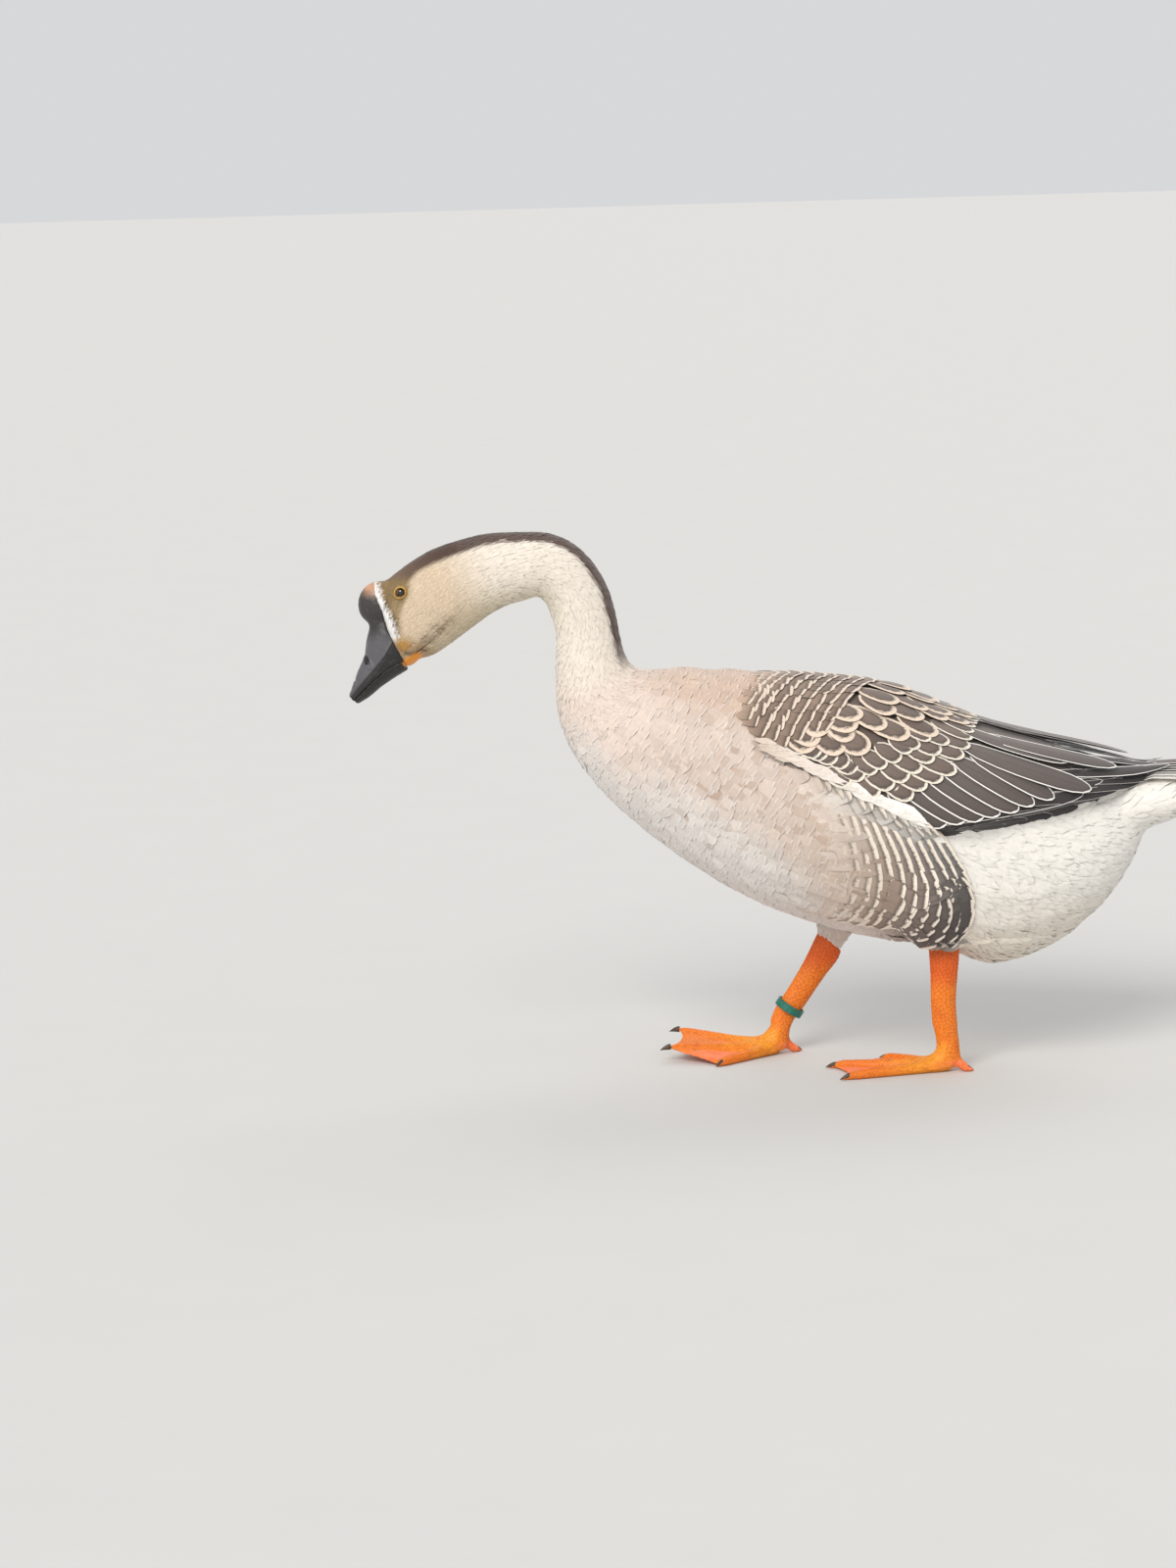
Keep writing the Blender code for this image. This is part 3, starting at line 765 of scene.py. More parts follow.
def makeBill():
    finish = hornFinish()
    pieces = {"upper_bill_and_knob": ["bill_upper", "knob"], "lower_bill": ["bill_lower"]}
    for name, nodes in pieces.items():
        upper = "knob" in nodes
        solid = joined(nodes, bill["overlap"])
        points, normals, sizes, corners = remade(name, solid, bill["grain"], bill["passes"])
        if upper:  # the knob runs into the bill
            x, z = headFlat(points)
            waistX, waistZ = bill["waist"]
            waist = hump(np.hypot(x - waistX, z - waistZ), bill["waistWide"])
            waist = waist * bill["waistShare"]
            points = eased(points, edgesOf(sizes, corners), waist, bill["waistRounds"])
            normals = normalsOf(points, sizes, corners)
        points = sculptBill(points, normals, upper)
        piece = newPiece(name, points, sizes, corners)
        paint(piece, "markings", billColours(points))
        dress(piece, finish, "black_horn", *nodes)


eye = dict(
    ball=6.3, sunk=5.6, opening=4.1, lidOut=6.6, lidRise=1.3, tall=0.94,  # in millimetres, tall as a share
    pupil=0.46, iris=tone(64, 38, 18), irisStreak=tone(28, 16, 9), black=tone(4, 4, 4), rim=tone(14, 10, 8),
    lid=tone(204, 158, 74), lidFold=tone(150, 108, 52), lidInner=tone(70, 46, 26),
    around=48, overBall=26,  # points round the eye, and rings over the ball
)


def ringMesh(rings, close=False):  # faces between rings of the same count, and their end fans if closed
    rounds, count = rings.shape[:2]
    base = np.arange(count)
    quads = []
    for r in range(rounds - 1):
        a, b = base + r * count, base + (r + 1) * count
        quads.append(np.column_stack([a, np.roll(a, -1), np.roll(b, -1), b]))
    quads = np.concatenate(quads)
    sizes, corners = np.full(len(quads), 4), quads.ravel()
    if close:
        sizes = np.concatenate([sizes, [count, count]])
        corners = np.concatenate([corners, base[::-1], base + (rounds - 1) * count])
    return rings.reshape(-1, 3), sizes, corners


def eyeSeat(side):  # the skin's place and slope at an eye
    start = Vector((eyeAt.x * mm, side * 0.2, eyeAt.z * mm))
    place, normal, _, _ = skinTree.ray_cast(start, Vector((0, -side, 0)))
    out = (normal + Vector((-0.25, side * 1.2, 0.1))).normalized()
    down = Vector((0.62, 0, -0.78))
    down = (down - out * down.dot(out)).normalized()
    return np.array(place), np.array(out), np.array(down), np.array(out.cross(down))


def eyeballFinish():
    finish = Finish("eye", Coat_Weight=1.0, Coat_Roughness=0.02, Roughness=0.15)
    ring = finish.stored("iris")
    colour = finish.mix(finish.noise(1500, 2), rgba(eye["iris"]), rgba(eye["irisStreak"]))
    pupil = finish.between(ring, eye["pupil"] + 0.05, eye["pupil"])
    colour = finish.mix(pupil, colour, rgba(eye["black"]))
    finish.wear(Base_Color=finish.mix(finish.between(ring, 0.9, 1.05), colour, rgba(eye["rim"])))
    return finish


def lidFinish():
    finish = Finish("eyelid skin", Roughness=0.5, Subsurface_Weight=0.05)
    folds = finish.noise(700, 3)
    colour = finish.mix(folds, rgba(eye["lid"]), rgba(eye["lidFold"]))
    colour = finish.mix(finish.between(finish.stored("inner"), 0.62, 0.95), colour, rgba(eye["lidInner"]))
    finish.wear(Base_Color=colour, Normal=finish.bump(folds, 0.4 * mm))
    return finish


def eyeball(seat, spokes, out):  # its rings, and how far across the iris each point is
    tilts = np.linspace(0.02, math.pi - 0.02, eye["overBall"])
    middle = seat - out * eye["sunk"] * mm
    bulge = 1 + 0.07 * hump(tilts, 0.5)
    rings = np.array([
        middle + (spokes * math.sin(tilt) + out * math.cos(tilt)) * eye["ball"] * mm * high
        for tilt, high in zip(tilts, bulge)
    ])
    reach = np.repeat(np.sin(tilts) * eye["ball"] / eye["opening"], len(spokes))
    return rings, np.where(np.repeat(tilts, len(spokes)) < 1.5, reach, 2)


def eyelids(seat, spokes, out, turns):  # one soft ring, from the inner edge over the top, out and back
    opening, rise, lidOut = eye["opening"], eye["lidRise"], eye["lidOut"]
    section = [  # out from the middle, and above the skin
        (opening + 0.2, -2.2), (opening - 0.15, -0.3), (opening, 0.55), (opening + 0.7, rise),
        (opening + 1.5, rise * 0.9), (lidOut - 0.5, 0.35), (lidOut, -0.6), (lidOut - 0.3, -2.4),
    ]
    rings = []
    for i, (radius, high) in enumerate(section):
        wrinkle = 0.1 * np.sin(turns * 13 + i) + 0.12 * np.sin(turns * 7 + 2 * i)
        corner = 1 + 0.10 * hump(np.sin(turns) + 1, 0.12)
        wide = (radius + wrinkle * (0 < i < 6)) * corner
        rings.append(seat + spokes * wide[:, None] * mm + out * (high + 0.6) * mm)
    return np.array([*rings, rings[0]])[::-1]


def makeEyes():
    ballLook, lidLook = eyeballFinish(), lidFinish()
    turns = np.linspace(0, 2 * math.pi, eye["around"], endpoint=False)
    for name, side in sides.items():
        seat, out, down, aft = eyeSeat(side)
        spokes = np.cos(turns)[:, None] * down * eye["tall"] + np.sin(turns)[:, None] * aft
        rings, across = eyeball(seat, spokes, out)
        ball = newPiece(f"eyeball_{name}", *ringMesh(rings, True))
        keep(ball, "iris", across)
        dress(ball, ballLook, "eye", f"eye_{name}")
        lids = newPiece(f"eyelids_{name}", *ringMesh(eyelids(seat, spokes, out, turns)))
        keep(lids, "inner", np.repeat([1, 0, 0.1, 0.2, 0.4, 0.6, 1, 1, 1], len(turns)))
        dress(lids, lidLook, "orange_skin")


legTones = dict(
    shank=tone(240, 128, 30), upper=tone(228, 98, 26), toe=tone(246, 158, 40), web=tone(250, 128, 74),
    grooveShade=tone(150, 66, 14), sole=tone(120, 84, 48), blotch=tone(206, 84, 20), grain=tone(120, 60, 20),
    claw=tone(40, 33, 28), clawStreak=tone(86, 70, 54),
)


def ankleOf(side):  # the floor under the middle of the ankle
    return np.array([*leg["ankles"][side], 0]) * mm


def toeDistance(points, side):  # to the nearest toe's middle line in plan, and how far out along it, in mm
    flat = (points - ankleOf(side))[:, :2] / mm
    best, along = np.full(len(points), 1e9), np.zeros(len(points))
    for turn, length in leg["toes"]:
        way = toeWay(side, turn)
        reach = np.clip(flat @ way, 0, length)
        gap = np.linalg.norm(flat - reach[:, None] * way, axis=1)
        closer = gap < best
        best, along = np.where(closer, gap, best), np.where(closer, reach / length, along)
    return best, along


def legFinish():
    finish = Finish("leg skin", Specular_IOR_Level=0.4, Subsurface_Weight=0.08, Subsurface_Scale=0.004)
    colour = finish.stored("markings", "Color")
    blotch, grain = finish.noise(120, 4), finish.noise(1100, 3)
    colour = finish.mix(finish.between(blotch, 0.48, 0.75) * 0.45, colour, rgba(legTones["blotch"]))
    colour = finish.mix(finish.between(grain, 0.6, 0.75) * 0.25, colour, rgba(legTones["grain"]))
    # The grooves between the scales are painted darker orange: painted shade in them, besides being pressed
    # in
    colour = finish.mix(finish.stored("groove") * 0.5, colour, rgba(legTones["grooveShade"]))
    rough = finish.between(blotch, 0.3, 0.7, 0.42, 0.6)
    finish.wear(Base_Color=colour, Roughness=rough, Normal=finish.bump(grain + blotch, 0.3 * mm))
    return finish


def clawFinish():
    finish = Finish("claw horn", Coat_Weight=0.2, Coat_Roughness=0.3)
    streaks = finish.noise(500, 4)
    colour = finish.mix(streaks, rgba(legTones["claw"]), rgba(legTones["clawStreak"]))
    rough = finish.between(streaks, 0.3, 0.7, 0.35, 0.5)
    finish.wear(Base_Color=colour, Roughness=rough, Normal=finish.bump(streaks, 0.2 * mm))
    return finish


def toeWay(side, turn):  # the way that a toe points in plan
    angle = math.radians(-sides[side] * leg["heading"] + sides[side] * turn)
    return np.array([-math.cos(angle), math.sin(angle)])


def scuteCracks(points, onToe):  # 1 between the scales, which are drawn out across each toe
    squeeze = np.column_stack([1 + 0.9 * onToe, 1 - 0.35 * onToe, np.ones(len(points))])
    space = points / mm * squeeze
    seeds = space[thinned(space, leg["scute"])]
    tree = KDTree(len(seeds))
    for i, spot in enumerate(seeds):
        tree.insert(spot, i)
    tree.balance()
    near = np.array([[hit[2] for hit in tree.find_n(p, 2)] for p in space])
    return hump(near[:, 1] - near[:, 0], 0.7)


def legSolid(side):  # the foot and its shank, whose top is drawn on into the coat
    shank = joined([f"shank_{side}"], leg["overlap"])
    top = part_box(f"shank_{side}")[1].z
    drawn = ease(shank[0][:, 2], top - leg["stretch"] * mm, top)
    aft, up = leg["rise"][side]
    shank[0][:] += drawn[:, None] * np.array([aft, 0, up]) * mm
    return joined([f"foot_{side}"], leg["overlap"], shank)


def legColours(height, gap, reach, onWeb, sole):
    tones = legTones
    colours = np.tile(tones["shank"], (len(height), 1))
    colours = blendTo(colours, tones["upper"], ease(height, *leg["upperFrom"]))
    colours = blendTo(colours, tones["web"], onWeb)
    yellow = ease(12 - gap, 0, 7) * ease(34 - height, 0, 14) * ease(0.7 - reach, 0, 0.5)
    colours = blendTo(colours, tones["toe"], yellow)
    return blendTo(colours, tones["sole"], sole * 0.5)


def makeLegs():
    skinLook, clawLook = legFinish(), clawFinish()
    for side in sides:
        points, _, sizes, corners = remade(f"leg_{side}", legSolid(side), leg["grain"], leg["passes"])
        height = points[:, 2] / mm
        atJoint = ease(height, 9, 15) * ease(leg["ankleTop"] - height, 0, 12)
        points = eased(points, edgesOf(sizes, corners), atJoint * 0.8, 110)
        normals = normalsOf(points, sizes, corners)
        points -= normals * leg["overlap"] * 0.6
        gap, reach = toeDistance(points, side)
        height = points[:, 2] / mm
        sole = ease(leg["soleTop"] - height, 0, 1.5)
        onToe = ease(9.5 - gap, 0, 4) * ease(leg["ankleTop"] - height, 0, 20)
        crack = scuteCracks(points, onToe) * (1 - sole)
        onWeb = ease(gap, *leg["toeHalf"]) * ease(leg["webTop"] - height, 0, 6)
        crack *= 1 - 0.75 * onWeb
        swell = leg["webSwell"] * onWeb * np.sin(gap * 1.3 + 2 * ripple(points, 12 * mm))
        points = points + normals * ((-leg["groove"] * crack + swell * (1 - sole)) * mm)[:, None]
        points[:, 2] = np.maximum(points[:, 2], 0)
        piece = newPiece(f"leg_skin_{side}", points, sizes, corners)
        paint(piece, "markings", legColours(height, gap, reach, onWeb, sole))
        keep(piece, "groove", crack)
        dress(piece, skinLook, "orange_skin", f"shank_{side}", f"foot_{side}")
        makeClaws(side, clawLook)


claw = dict(  # turn from the heading, reach from the ankle, length and half width, in degrees and millimetres
    front=[(turn, length, 10, 2.7) for turn, length in leg["toes"]], hind=(180, 25, 7, 1.9),
    around=14, rings=9, drop=2.6 * mm, clear=0.9 * mm,  # how far it curves down, and stays off the floor
    flat=0.85, point=0.25, taper=1.6,
)


def makeClaws(side, finish):
    foot = treeOf(*joined([f"foot_{side}"], 0))
    turns = np.linspace(0, 2 * math.pi, claw["around"], endpoint=False)[:, None]
    for number, (turn, length, long, wide) in enumerate([*claw["front"], claw["hind"]]):
        way = np.array([*toeWay(side, turn), 0])
        place = ankleOf(side) + way * (length - long * 0.8) * mm
        top = foot.ray_cast(Vector(place + np.array([0, 0, 0.05])), Vector((0, 0, -1)))[0]
        low = foot.find_nearest(Vector((place[0], place[1], -0.01)))[0].z
        middle = np.array([place[0], place[1], ((top.z if top else 4 * mm) + low) / 2 + 0.3 * mm])
        across = np.cross(way, [0, 0, 1])
        rings = []
        for share in np.linspace(0, 1, claw["rings"]):
            radius = wide * (1 - share ** claw["taper"]) + claw["point"]
            fall = min(claw["drop"], middle[2] - claw["clear"])
            centre = middle + way * long * share * mm - np.array([0, 0, fall]) * share ** 2
            spokes = np.cos(turns) * across * claw["flat"] + np.sin(turns) * [0, 0, 1]
            rings.append(centre + spokes * radius * mm)
        points, sizes, corners = ringMesh(np.array(rings), True)
        points[:, 2] = np.maximum(points[:, 2], 0)
        dress(newPiece(f"claw_{side}_{number}", points, sizes, corners), finish, "black_horn")


def thinned(spots, spacing):  # which spots stay when none may be nearer another than spacing
    steps = [(x, y, z) for x in (-1, 0, 1) for y in (-1, 0, 1) for z in (-1, 0, 1)]
    cells = np.floor(spots / spacing).astype(int)
    taken, kept = {}, []
    for i in draws.permutation(len(spots)):
        a, b, c = cells[i]
        spot = tuple(spots[i])
        near = (taken.get((a + x, b + y, c + z)) for x, y, z in steps)
        if not any(math.dist(spot, other) < spacing for group in near if group for other in group):
            taken.setdefault((a, b, c), []).append(spot)
            kept.append(i)
    return np.array(kept)


legRing = dict(
    colour=tone(22, 116, 96), dirt=tone(16, 84, 76), scuff=tone(96, 150, 132), edge=0.5 * mm, edgeSteps=3,
)


def makeRing():
    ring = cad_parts["leg_ring"]
    finish = Finish("ring plastic", Specular_IOR_Level=0.5, Subsurface_Weight=0.03)
    scuffs, dirt = finish.noise(380, 5), finish.noise(70, 3)
    colour = finish.mix(dirt, rgba(legRing["colour"]), rgba(legRing["dirt"]))
    colour = finish.mix(finish.between(scuffs, 0.56, 0.7) * 0.4, colour, rgba(legRing["scuff"]))
    rough = finish.between(scuffs, 0.3, 0.7, 0.3, 0.5)
    finish.wear(Base_Color=colour, Roughness=rough, Normal=finish.bump(scuffs, 0.15 * mm))
    ring.data.materials.clear()
    ring.data.materials.append(finish.material)
    bevel = ring.modifiers.new("worn edges", "BEVEL")
    bevel.width, bevel.segments = legRing["edge"], legRing["edgeSteps"]


# Rows are shares of a vane's length, with its half width there as a share of the widest. Across runs over
# the top from side to side. sideRim sets the rim along the sides, and round how round the vane shades.
vaneShapes = dict(
    tuft=dict(rows=[(0.14, 0.55), (0.45, 1.0), (0.8, 0.62)], across=[-1, 0, 1], sideRim=0, round=0.3),
    contour=dict(
        rows=[(0.1, 0.4), (0.35, 0.85), (0.68, 1.0), (0.88, 0.9), (0.965, 0.6)],
        across=[-1, -0.6, 0, 0.6, 1], sideRim=0, round=0.15,
    ),
    broad=dict(
        rows=[(0.06, 0.45), (0.25, 0.85), (0.55, 1.0), (0.82, 1.0), (0.93, 0.93), (0.98, 0.7)],
        across=[-1, -0.8, 0, 0.8, 1], sideRim=0, round=0.15,
    ),
    covert=dict(
        rows=[(0.06, 0.4), (0.22, 0.8), (0.45, 1.0), (0.68, 0.99), (0.83, 0.86), (0.92, 0.64), (0.975, 0.36)],
        across=[-1, -0.78, 0, 0.78, 1], sideRim=1.5, round=0.35,
    ),
    quill=dict(
        rows=[(0.04, 0.5), (0.14, 0.8), (0.3, 0.95), (0.45, 1.0), (0.6, 1.0), (0.74, 0.96), (0.85, 0.84),
              (0.93, 0.62), (0.98, 0.33)],
        across=[-1, -0.85, 0, 0.85, 1], sideRim=1, round=0.3,
    ),
)


def vaneFaces(rows, ring):  # the faces of one vane: rings of points, then its root and its tip
    faces = []
    root, tip = rows * ring, rows * ring + 1
    for j in range(ring):
        k = (j + 1) % ring
        faces.append((root, j, k))
        faces.append((tip, (rows - 1) * ring + k, (rows - 1) * ring + j))
        for r in range(rows - 1):
            face = (r * ring + j, (r + 1) * ring + j, (r + 1) * ring + k, r * ring + k)
            faces.append(face if j < ring // 2 else face[-1:] + face[:-1])  # both sides fold alike
    return faces


vaneDefaults = dict(  # in millimetres, apart from camber, roll in radians, and the colour
    lift=1.0, base=0.0, camber=0.1, roll=0.0, thick=0.35, rim=0.0, wave=0.0, rimTone=tone(232, 222, 206),
)
mostTriangles = 190000  # in one piece


def growVanes(name, shape, vanes, finish, slot):
    # vanes holds paths and ups over the skin, root and tip colours, width, and what differs from the defaults
    count = len(vanes["paths"])
    vanes = {**vaneDefaults, **vanes}
    for key, value in vanes.items():
        value = np.asarray(value, float)
        if key not in ("paths", "ups"):
            wanted = (count, 3) if key in ("root", "tip", "rimTone") else (count,)
            vanes[key] = np.broadcast_to(value, wanted)
    faces = vaneFaces(len(vaneShapes[shape]["rows"]), 2 * len(vaneShapes[shape]["across"]) - 2)
    limit = mostTriangles // sum(len(face) - 2 for face in faces)
    parts = math.ceil(count / limit)
    order = np.argsort(vanes["paths"][:, 0, 0], kind="stable")
    for number, part in enumerate(np.array_split(order, parts)):
        label = f"{name}_{number + 1}" if parts > 1 else name
        buildVanes(label, shape, {key: value[part] for key, value in vanes.items()}, faces, finish, slot)


def buildVanes(name, shape, vanes, faces, finish, slot):
    look = vaneShapes[shape]
    paths, ups, count = vanes["paths"], vanes["ups"], len(vanes["paths"])
    shares = np.array([0] + [row[0] for row in look["rows"]] + [1])
    halves = np.array([0] + [row[1] for row in look["rows"]] + [0])
    steps = shares * (paths.shape[1] - 1)
    low = np.minimum(steps.astype(int), paths.shape[1] - 2)
    part = (steps - low)[None, :, None]
    spine = paths[:, low] * (1 - part) + paths[:, low + 1] * part
    up = unit(ups[:, low] * (1 - part) + ups[:, low + 1] * part)
    ahead = np.gradient(spine, axis=1)
    ahead = unit(ahead - dot(ahead, up) * up)
    across = np.cross(up, ahead)
    measures = ("width", "lift", "base", "camber", "roll", "wave", "thick")
    one = {key: vanes[key][:, None, None] for key in measures}
    tilted = across * np.cos(one["roll"]) + up * np.sin(one["roll"])
    long = np.linalg.norm(np.diff(paths, axis=1), axis=2).sum(1)[:, None] / mm
    t = shares[None, :, None]
    spine = spine + up * (one["base"] + one["lift"] * t) * mm
    spine = spine + across * (one["wave"] * np.sin(t * 5 + 40 * one["base"]) * t) * mm
    half = halves[None, :, None] * one["width"] / 2 * mm
    crosses = np.array([*look["across"], *look["across"][-2:0:-1]], float)  # over the top and back beneath
    beneath = (np.arange(len(crosses)) >= len(look["across"])).astype(float)[None, None, :, None]
    ring, rows = len(crosses), len(look["rows"])
    x = crosses[None, None, :, None]
    mid = slice(1, -1)
    shell = spine[:, mid, None] + tilted[:, mid, None] * half[:, mid, None] * x
    droop = half[:, mid, None] * x**2 * one["camber"][:, None] * 2 + beneath * one["thick"][:, None] * mm
    shell = shell - up[:, mid, None] * droop
    points = np.concatenate([shell.reshape(count, rows * ring, 3), spine[:, :1], spine[:, -1:]], 1)
    each = points.shape[1]
    sizes = np.tile([len(face) for face in faces], count)
    pattern = np.concatenate([np.array(face) for face in faces])
    corners = (pattern[None] + np.arange(count)[:, None] * each).ravel()
    lengthways = np.concatenate([np.repeat(shares[1:-1], ring), [0, 1]])
    sideways = np.concatenate([np.tile(crosses, rows), [0, 0]])
    flatHalf = np.concatenate([np.repeat(halves[1:-1], ring), [1, 0]])
    toSide = (1 - np.abs(sideways)) * flatHalf * vanes["width"][:, None] / 2
    edge = (1 - lengthways) * long
    if look["sideRim"]:
        edge = np.minimum(edge, toSide * look["sideRim"])
        edge[:, -2] = vanes["width"] / 2
    piece = newPiece(name, points.reshape(-1, 3), sizes, corners)
    # Vanes shade as part of the body's own rounding, not as separate rods
    facing = up[:, mid, None] * (1 - 2 * beneath) + tilted[:, mid, None] * x * look["round"]
    facing = np.concatenate([facing.reshape(count, rows * ring, 3), up[:, :1], up[:, -1:]], 1)
    facing = unit(facing)[:, pattern]
    layer = piece.data.attributes.new("custom_normal", "FLOAT_VECTOR", "CORNER")
    layer.data.foreach_set("vector", facing.astype(np.float32).ravel())
    share = lengthways[None, :, None]
    colours = vanes["root"][:, None] * (1 - share) + vanes["tip"][:, None] * share
    paint(piece, "markings", colours.reshape(-1, 3))
    if shape != "tuft":
        paint(piece, "rimTone", np.repeat(vanes["rimTone"], each, axis=0))
        keep(piece, "edge", edge.ravel())
        keep(piece, "rim", np.repeat(vanes["rim"], each))
        keep(piece, "across", np.tile(sideways, count))
        keep(piece, "lengthways", np.tile(lengthways, count))
    layOut(piece, bakePlaces(paths[:, 0], sideways, lengthways), corners)
    dress(piece, finish, slot)
    print("  ", name, count, "vanes,", (len(pattern) - 2 * len(faces)) * count, "triangles")


def bakePlaces(roots, sideways, lengthways):  # each vane's patch at its root on the body's unwrap
    along, around, _ = onBody(roots)
    places = np.column_stack([along / wholeLength, around / (2 * math.pi)])
    # The part of the unwrap that the piece covers is spread over its map
    low, high = places.min(0), places.max(0)
    margin = 0.03
    places = margin + (1 - 2 * margin) * (places - low) / (high - low)
    patch = np.clip(0.3 / math.sqrt(len(roots)), 0.003, 0.03)
    u = places[:, :1] + (lengthways[None] - 0.5) * patch
    v = places[:, 1:] + sideways[None] * patch / 2
    return np.stack([u, v], -1).reshape(-1, 2)


def makeLie():  # the way that the coat lies at each point of the skin, and the skin's slope there
    normals = normalsOf(skinPoints, skinSizes, skinCorners)
    _, around, tangent = onBody(skinPoints)
    x = skinPoints[:, 0] / mm
    sink = 0.25 * ease(x, -170, -60) * np.sin(np.abs(around))
    sink += 4 * onThigh(skinPoints)
    lie = tangent + np.array([0, 0, -1]) * sink[:, None]
    edges = edgesOf(skinSizes, skinCorners)
    for _ in range(30):  # neighbours agree, so that no tuft looks plucked
        lie = unit(lie - dot(lie, normals) * normals)
        lie = lie + neighbourSum(lie, edges)
    return unit(lie - dot(lie, normals) * normals), normals


def strewn(chosen, spacing):  # even random places on the skin's faces where chosen, with the lie there
    quads = skinCorners.reshape(-1, 4)  # the even skin has four-sided faces only
    corners = skinPoints[quads]
    slants = corners[:, 2] - corners[:, 0], corners[:, 3] - corners[:, 1]
    area = np.linalg.norm(np.cross(*slants), axis=1) / 2
    weight = area * chosen[quads].mean(1)
    count = int(weight.sum() / spacing**2 * 3.2)  # enough that thinning leaves no gaps
    picked = draws.choice(len(quads), count, p=weight / weight.sum())
    a, b = draws.random((2, count, 1))
    four = corners[picked]
    spots = (four[:, 0] * (1 - a) + four[:, 1] * a) * (1 - b) + (four[:, 3] * (1 - a) + four[:, 2] * a) * b
    kept = thinned(spots, spacing)
    return spots[kept], unit(skinLie[quads[picked[kept]]].mean(1))


def trail(spots, ways, lengths, steps, turns):  # paths of even steps over the skin, and the way up there
    count = len(spots)
    paths, ups = np.zeros((count, steps + 1, 3)), np.zeros((count, steps + 1, 3))
    for i in range(count):
        place, normal, _, _ = skinTree.find_nearest(spots[i])
        way, step, swing = Vector(ways[i]), lengths[i] / steps, turns[i] / steps
        for k in range(steps + 1):
            paths[i, k], ups[i, k] = place, normal
            way = way - normal * way.dot(normal)
            way = (way + normal.cross(way) * swing).normalized()
            hit, newNormal, _, _ = skinTree.find_nearest(place + way * step)
            if newNormal.dot(normal) < 0.2 or (hit - place).length < 0.4 * step:
                hit, newNormal = place + way * step, normal
            place, normal = hit, (newNormal + normal * 0.6).normalized()
    return paths, ups


def unfolded(paths, ups):  # which vanes neither turn back nor roll over
    ahead = unit(np.diff(paths, axis=1))
    turns, rolls = dot(ahead[:, 1:], ahead[:, :-1]), dot(ups[:, 1:], ups[:, :-1])
    return np.minimum(turns.min((1, 2)), rolls.min((1, 2))) > 0.6


tuftDefaults = dict(  # own is how much of its tip's colour a tuft takes from the place where the tip lies
    shape="tuft", steps=3, spread=0.1, pale=0.0, wave=0.0, roll=0.04, thick=0.2, winged=True, own=0.5,
    slot="cream_plumage",
)


def growTufts(name, chosen, tract, finish):  # tract: spacing, long, wide, lift, vary and what isn't default
    tract = {**vaneDefaults, **tuftDefaults, **tract}
    spots, ways = strewn(chosen, tract["spacing"] * mm)
    count = len(spots)
    normal = np.array([skinTree.find_nearest(p)[1] for p in spots])
    swing = draws.normal(0, tract["spread"], (count, 1))
    ways = ways * np.cos(swing) + np.cross(normal, ways) * np.sin(swing)
    along, around, _ = onBody(spots)
    size = 1 + np.clip(draws.normal(0, 0.1, count), -0.25, 0.25)
    given = {}
    for key in ("long", "wide", "lift", "base", "rim", "camber"):
        given[key] = tract[key](along) if callable(tract[key]) else np.full(count, float(tract[key]))
    turns = draws.normal(0, tract["spread"], count)
    paths, ups = trail(spots, ways, given["long"] * size * mm, tract["steps"], turns)
    root = markings(spots, along, around, tract["winged"])
    ends = paths[:, -1]
    tip = root + (markings(ends, *onBody(ends)[:2], tract["winged"]) - root) * tract["own"]
    shade = 1 + draws.normal(0, tract["vary"], (count, 1))
    root, tip = root * shade, tip * shade
    tip = tip + (1 - tip) * tract["pale"]
    vanes = dict(
        paths=paths, ups=ups, root=root, tip=tip, width=given["wide"] * size,
        lift=given["lift"] * (1 + np.clip(draws.normal(0, 0.15, count), -0.4, 0.4)),
        base=given["base"] + draws.random(count) * 0.25, camber=given["camber"], rim=given["rim"],
        roll=draws.normal(0, tract["roll"], count), wave=draws.normal(0, 1, count) * tract["wave"],
        thick=np.full(count, tract["thick"]), rimTone=tip + (1 - tip) * 0.14,
    )
    lying = unfolded(paths, ups)
    vanes = {key: value[lying] for key, value in vanes.items()}
    growVanes(name, tract["shape"], vanes, finish, tract["slot"])


# Rows of vanes are laid over the back and flanks by x and by a turn round the row axis from straight up
rowAxis = 262 * mm
rowRadius = 110  # about the skin's distance from the axis, in millimetres
rowGrid = np.arange(-90, 345, 5.0)
rowTurns = np.linspace(0.03, 2.7, 70)
overTop = 400  # a height that no skin reaches: a row with its end there runs up to the middle of the back


def castRound(x, turn, side):  # the skin's place and slope at a turn
    way = Vector((0, side * math.sin(turn), math.cos(turn)))
    hit, normal, _, _ = skinTree.ray_cast(Vector((x * mm, 0, rowAxis)) + way * 0.3, -way)
    return (None, None) if hit is None else (np.array(hit), np.array(normal))


def makeTurnTable(side):  # the height that each turn reaches, for each x of the grid
    table = np.zeros((len(rowGrid), len(rowTurns)))
    for i, x in enumerate(rowGrid):
        for j, turn in enumerate(rowTurns):
            hit = castRound(x, turn, side)[0]
            table[i, j] = hit[2] / mm if hit is not None else table[i - 1, j]
        table[i] = np.minimum.accumulate(table[i])
    return table


def turnAt(table, x, z):
    i = int(np.clip(np.searchsorted(rowGrid, x), 0, len(rowGrid) - 1))
    return float(np.interp(-settledHigh(x, z), -table[i], rowTurns))


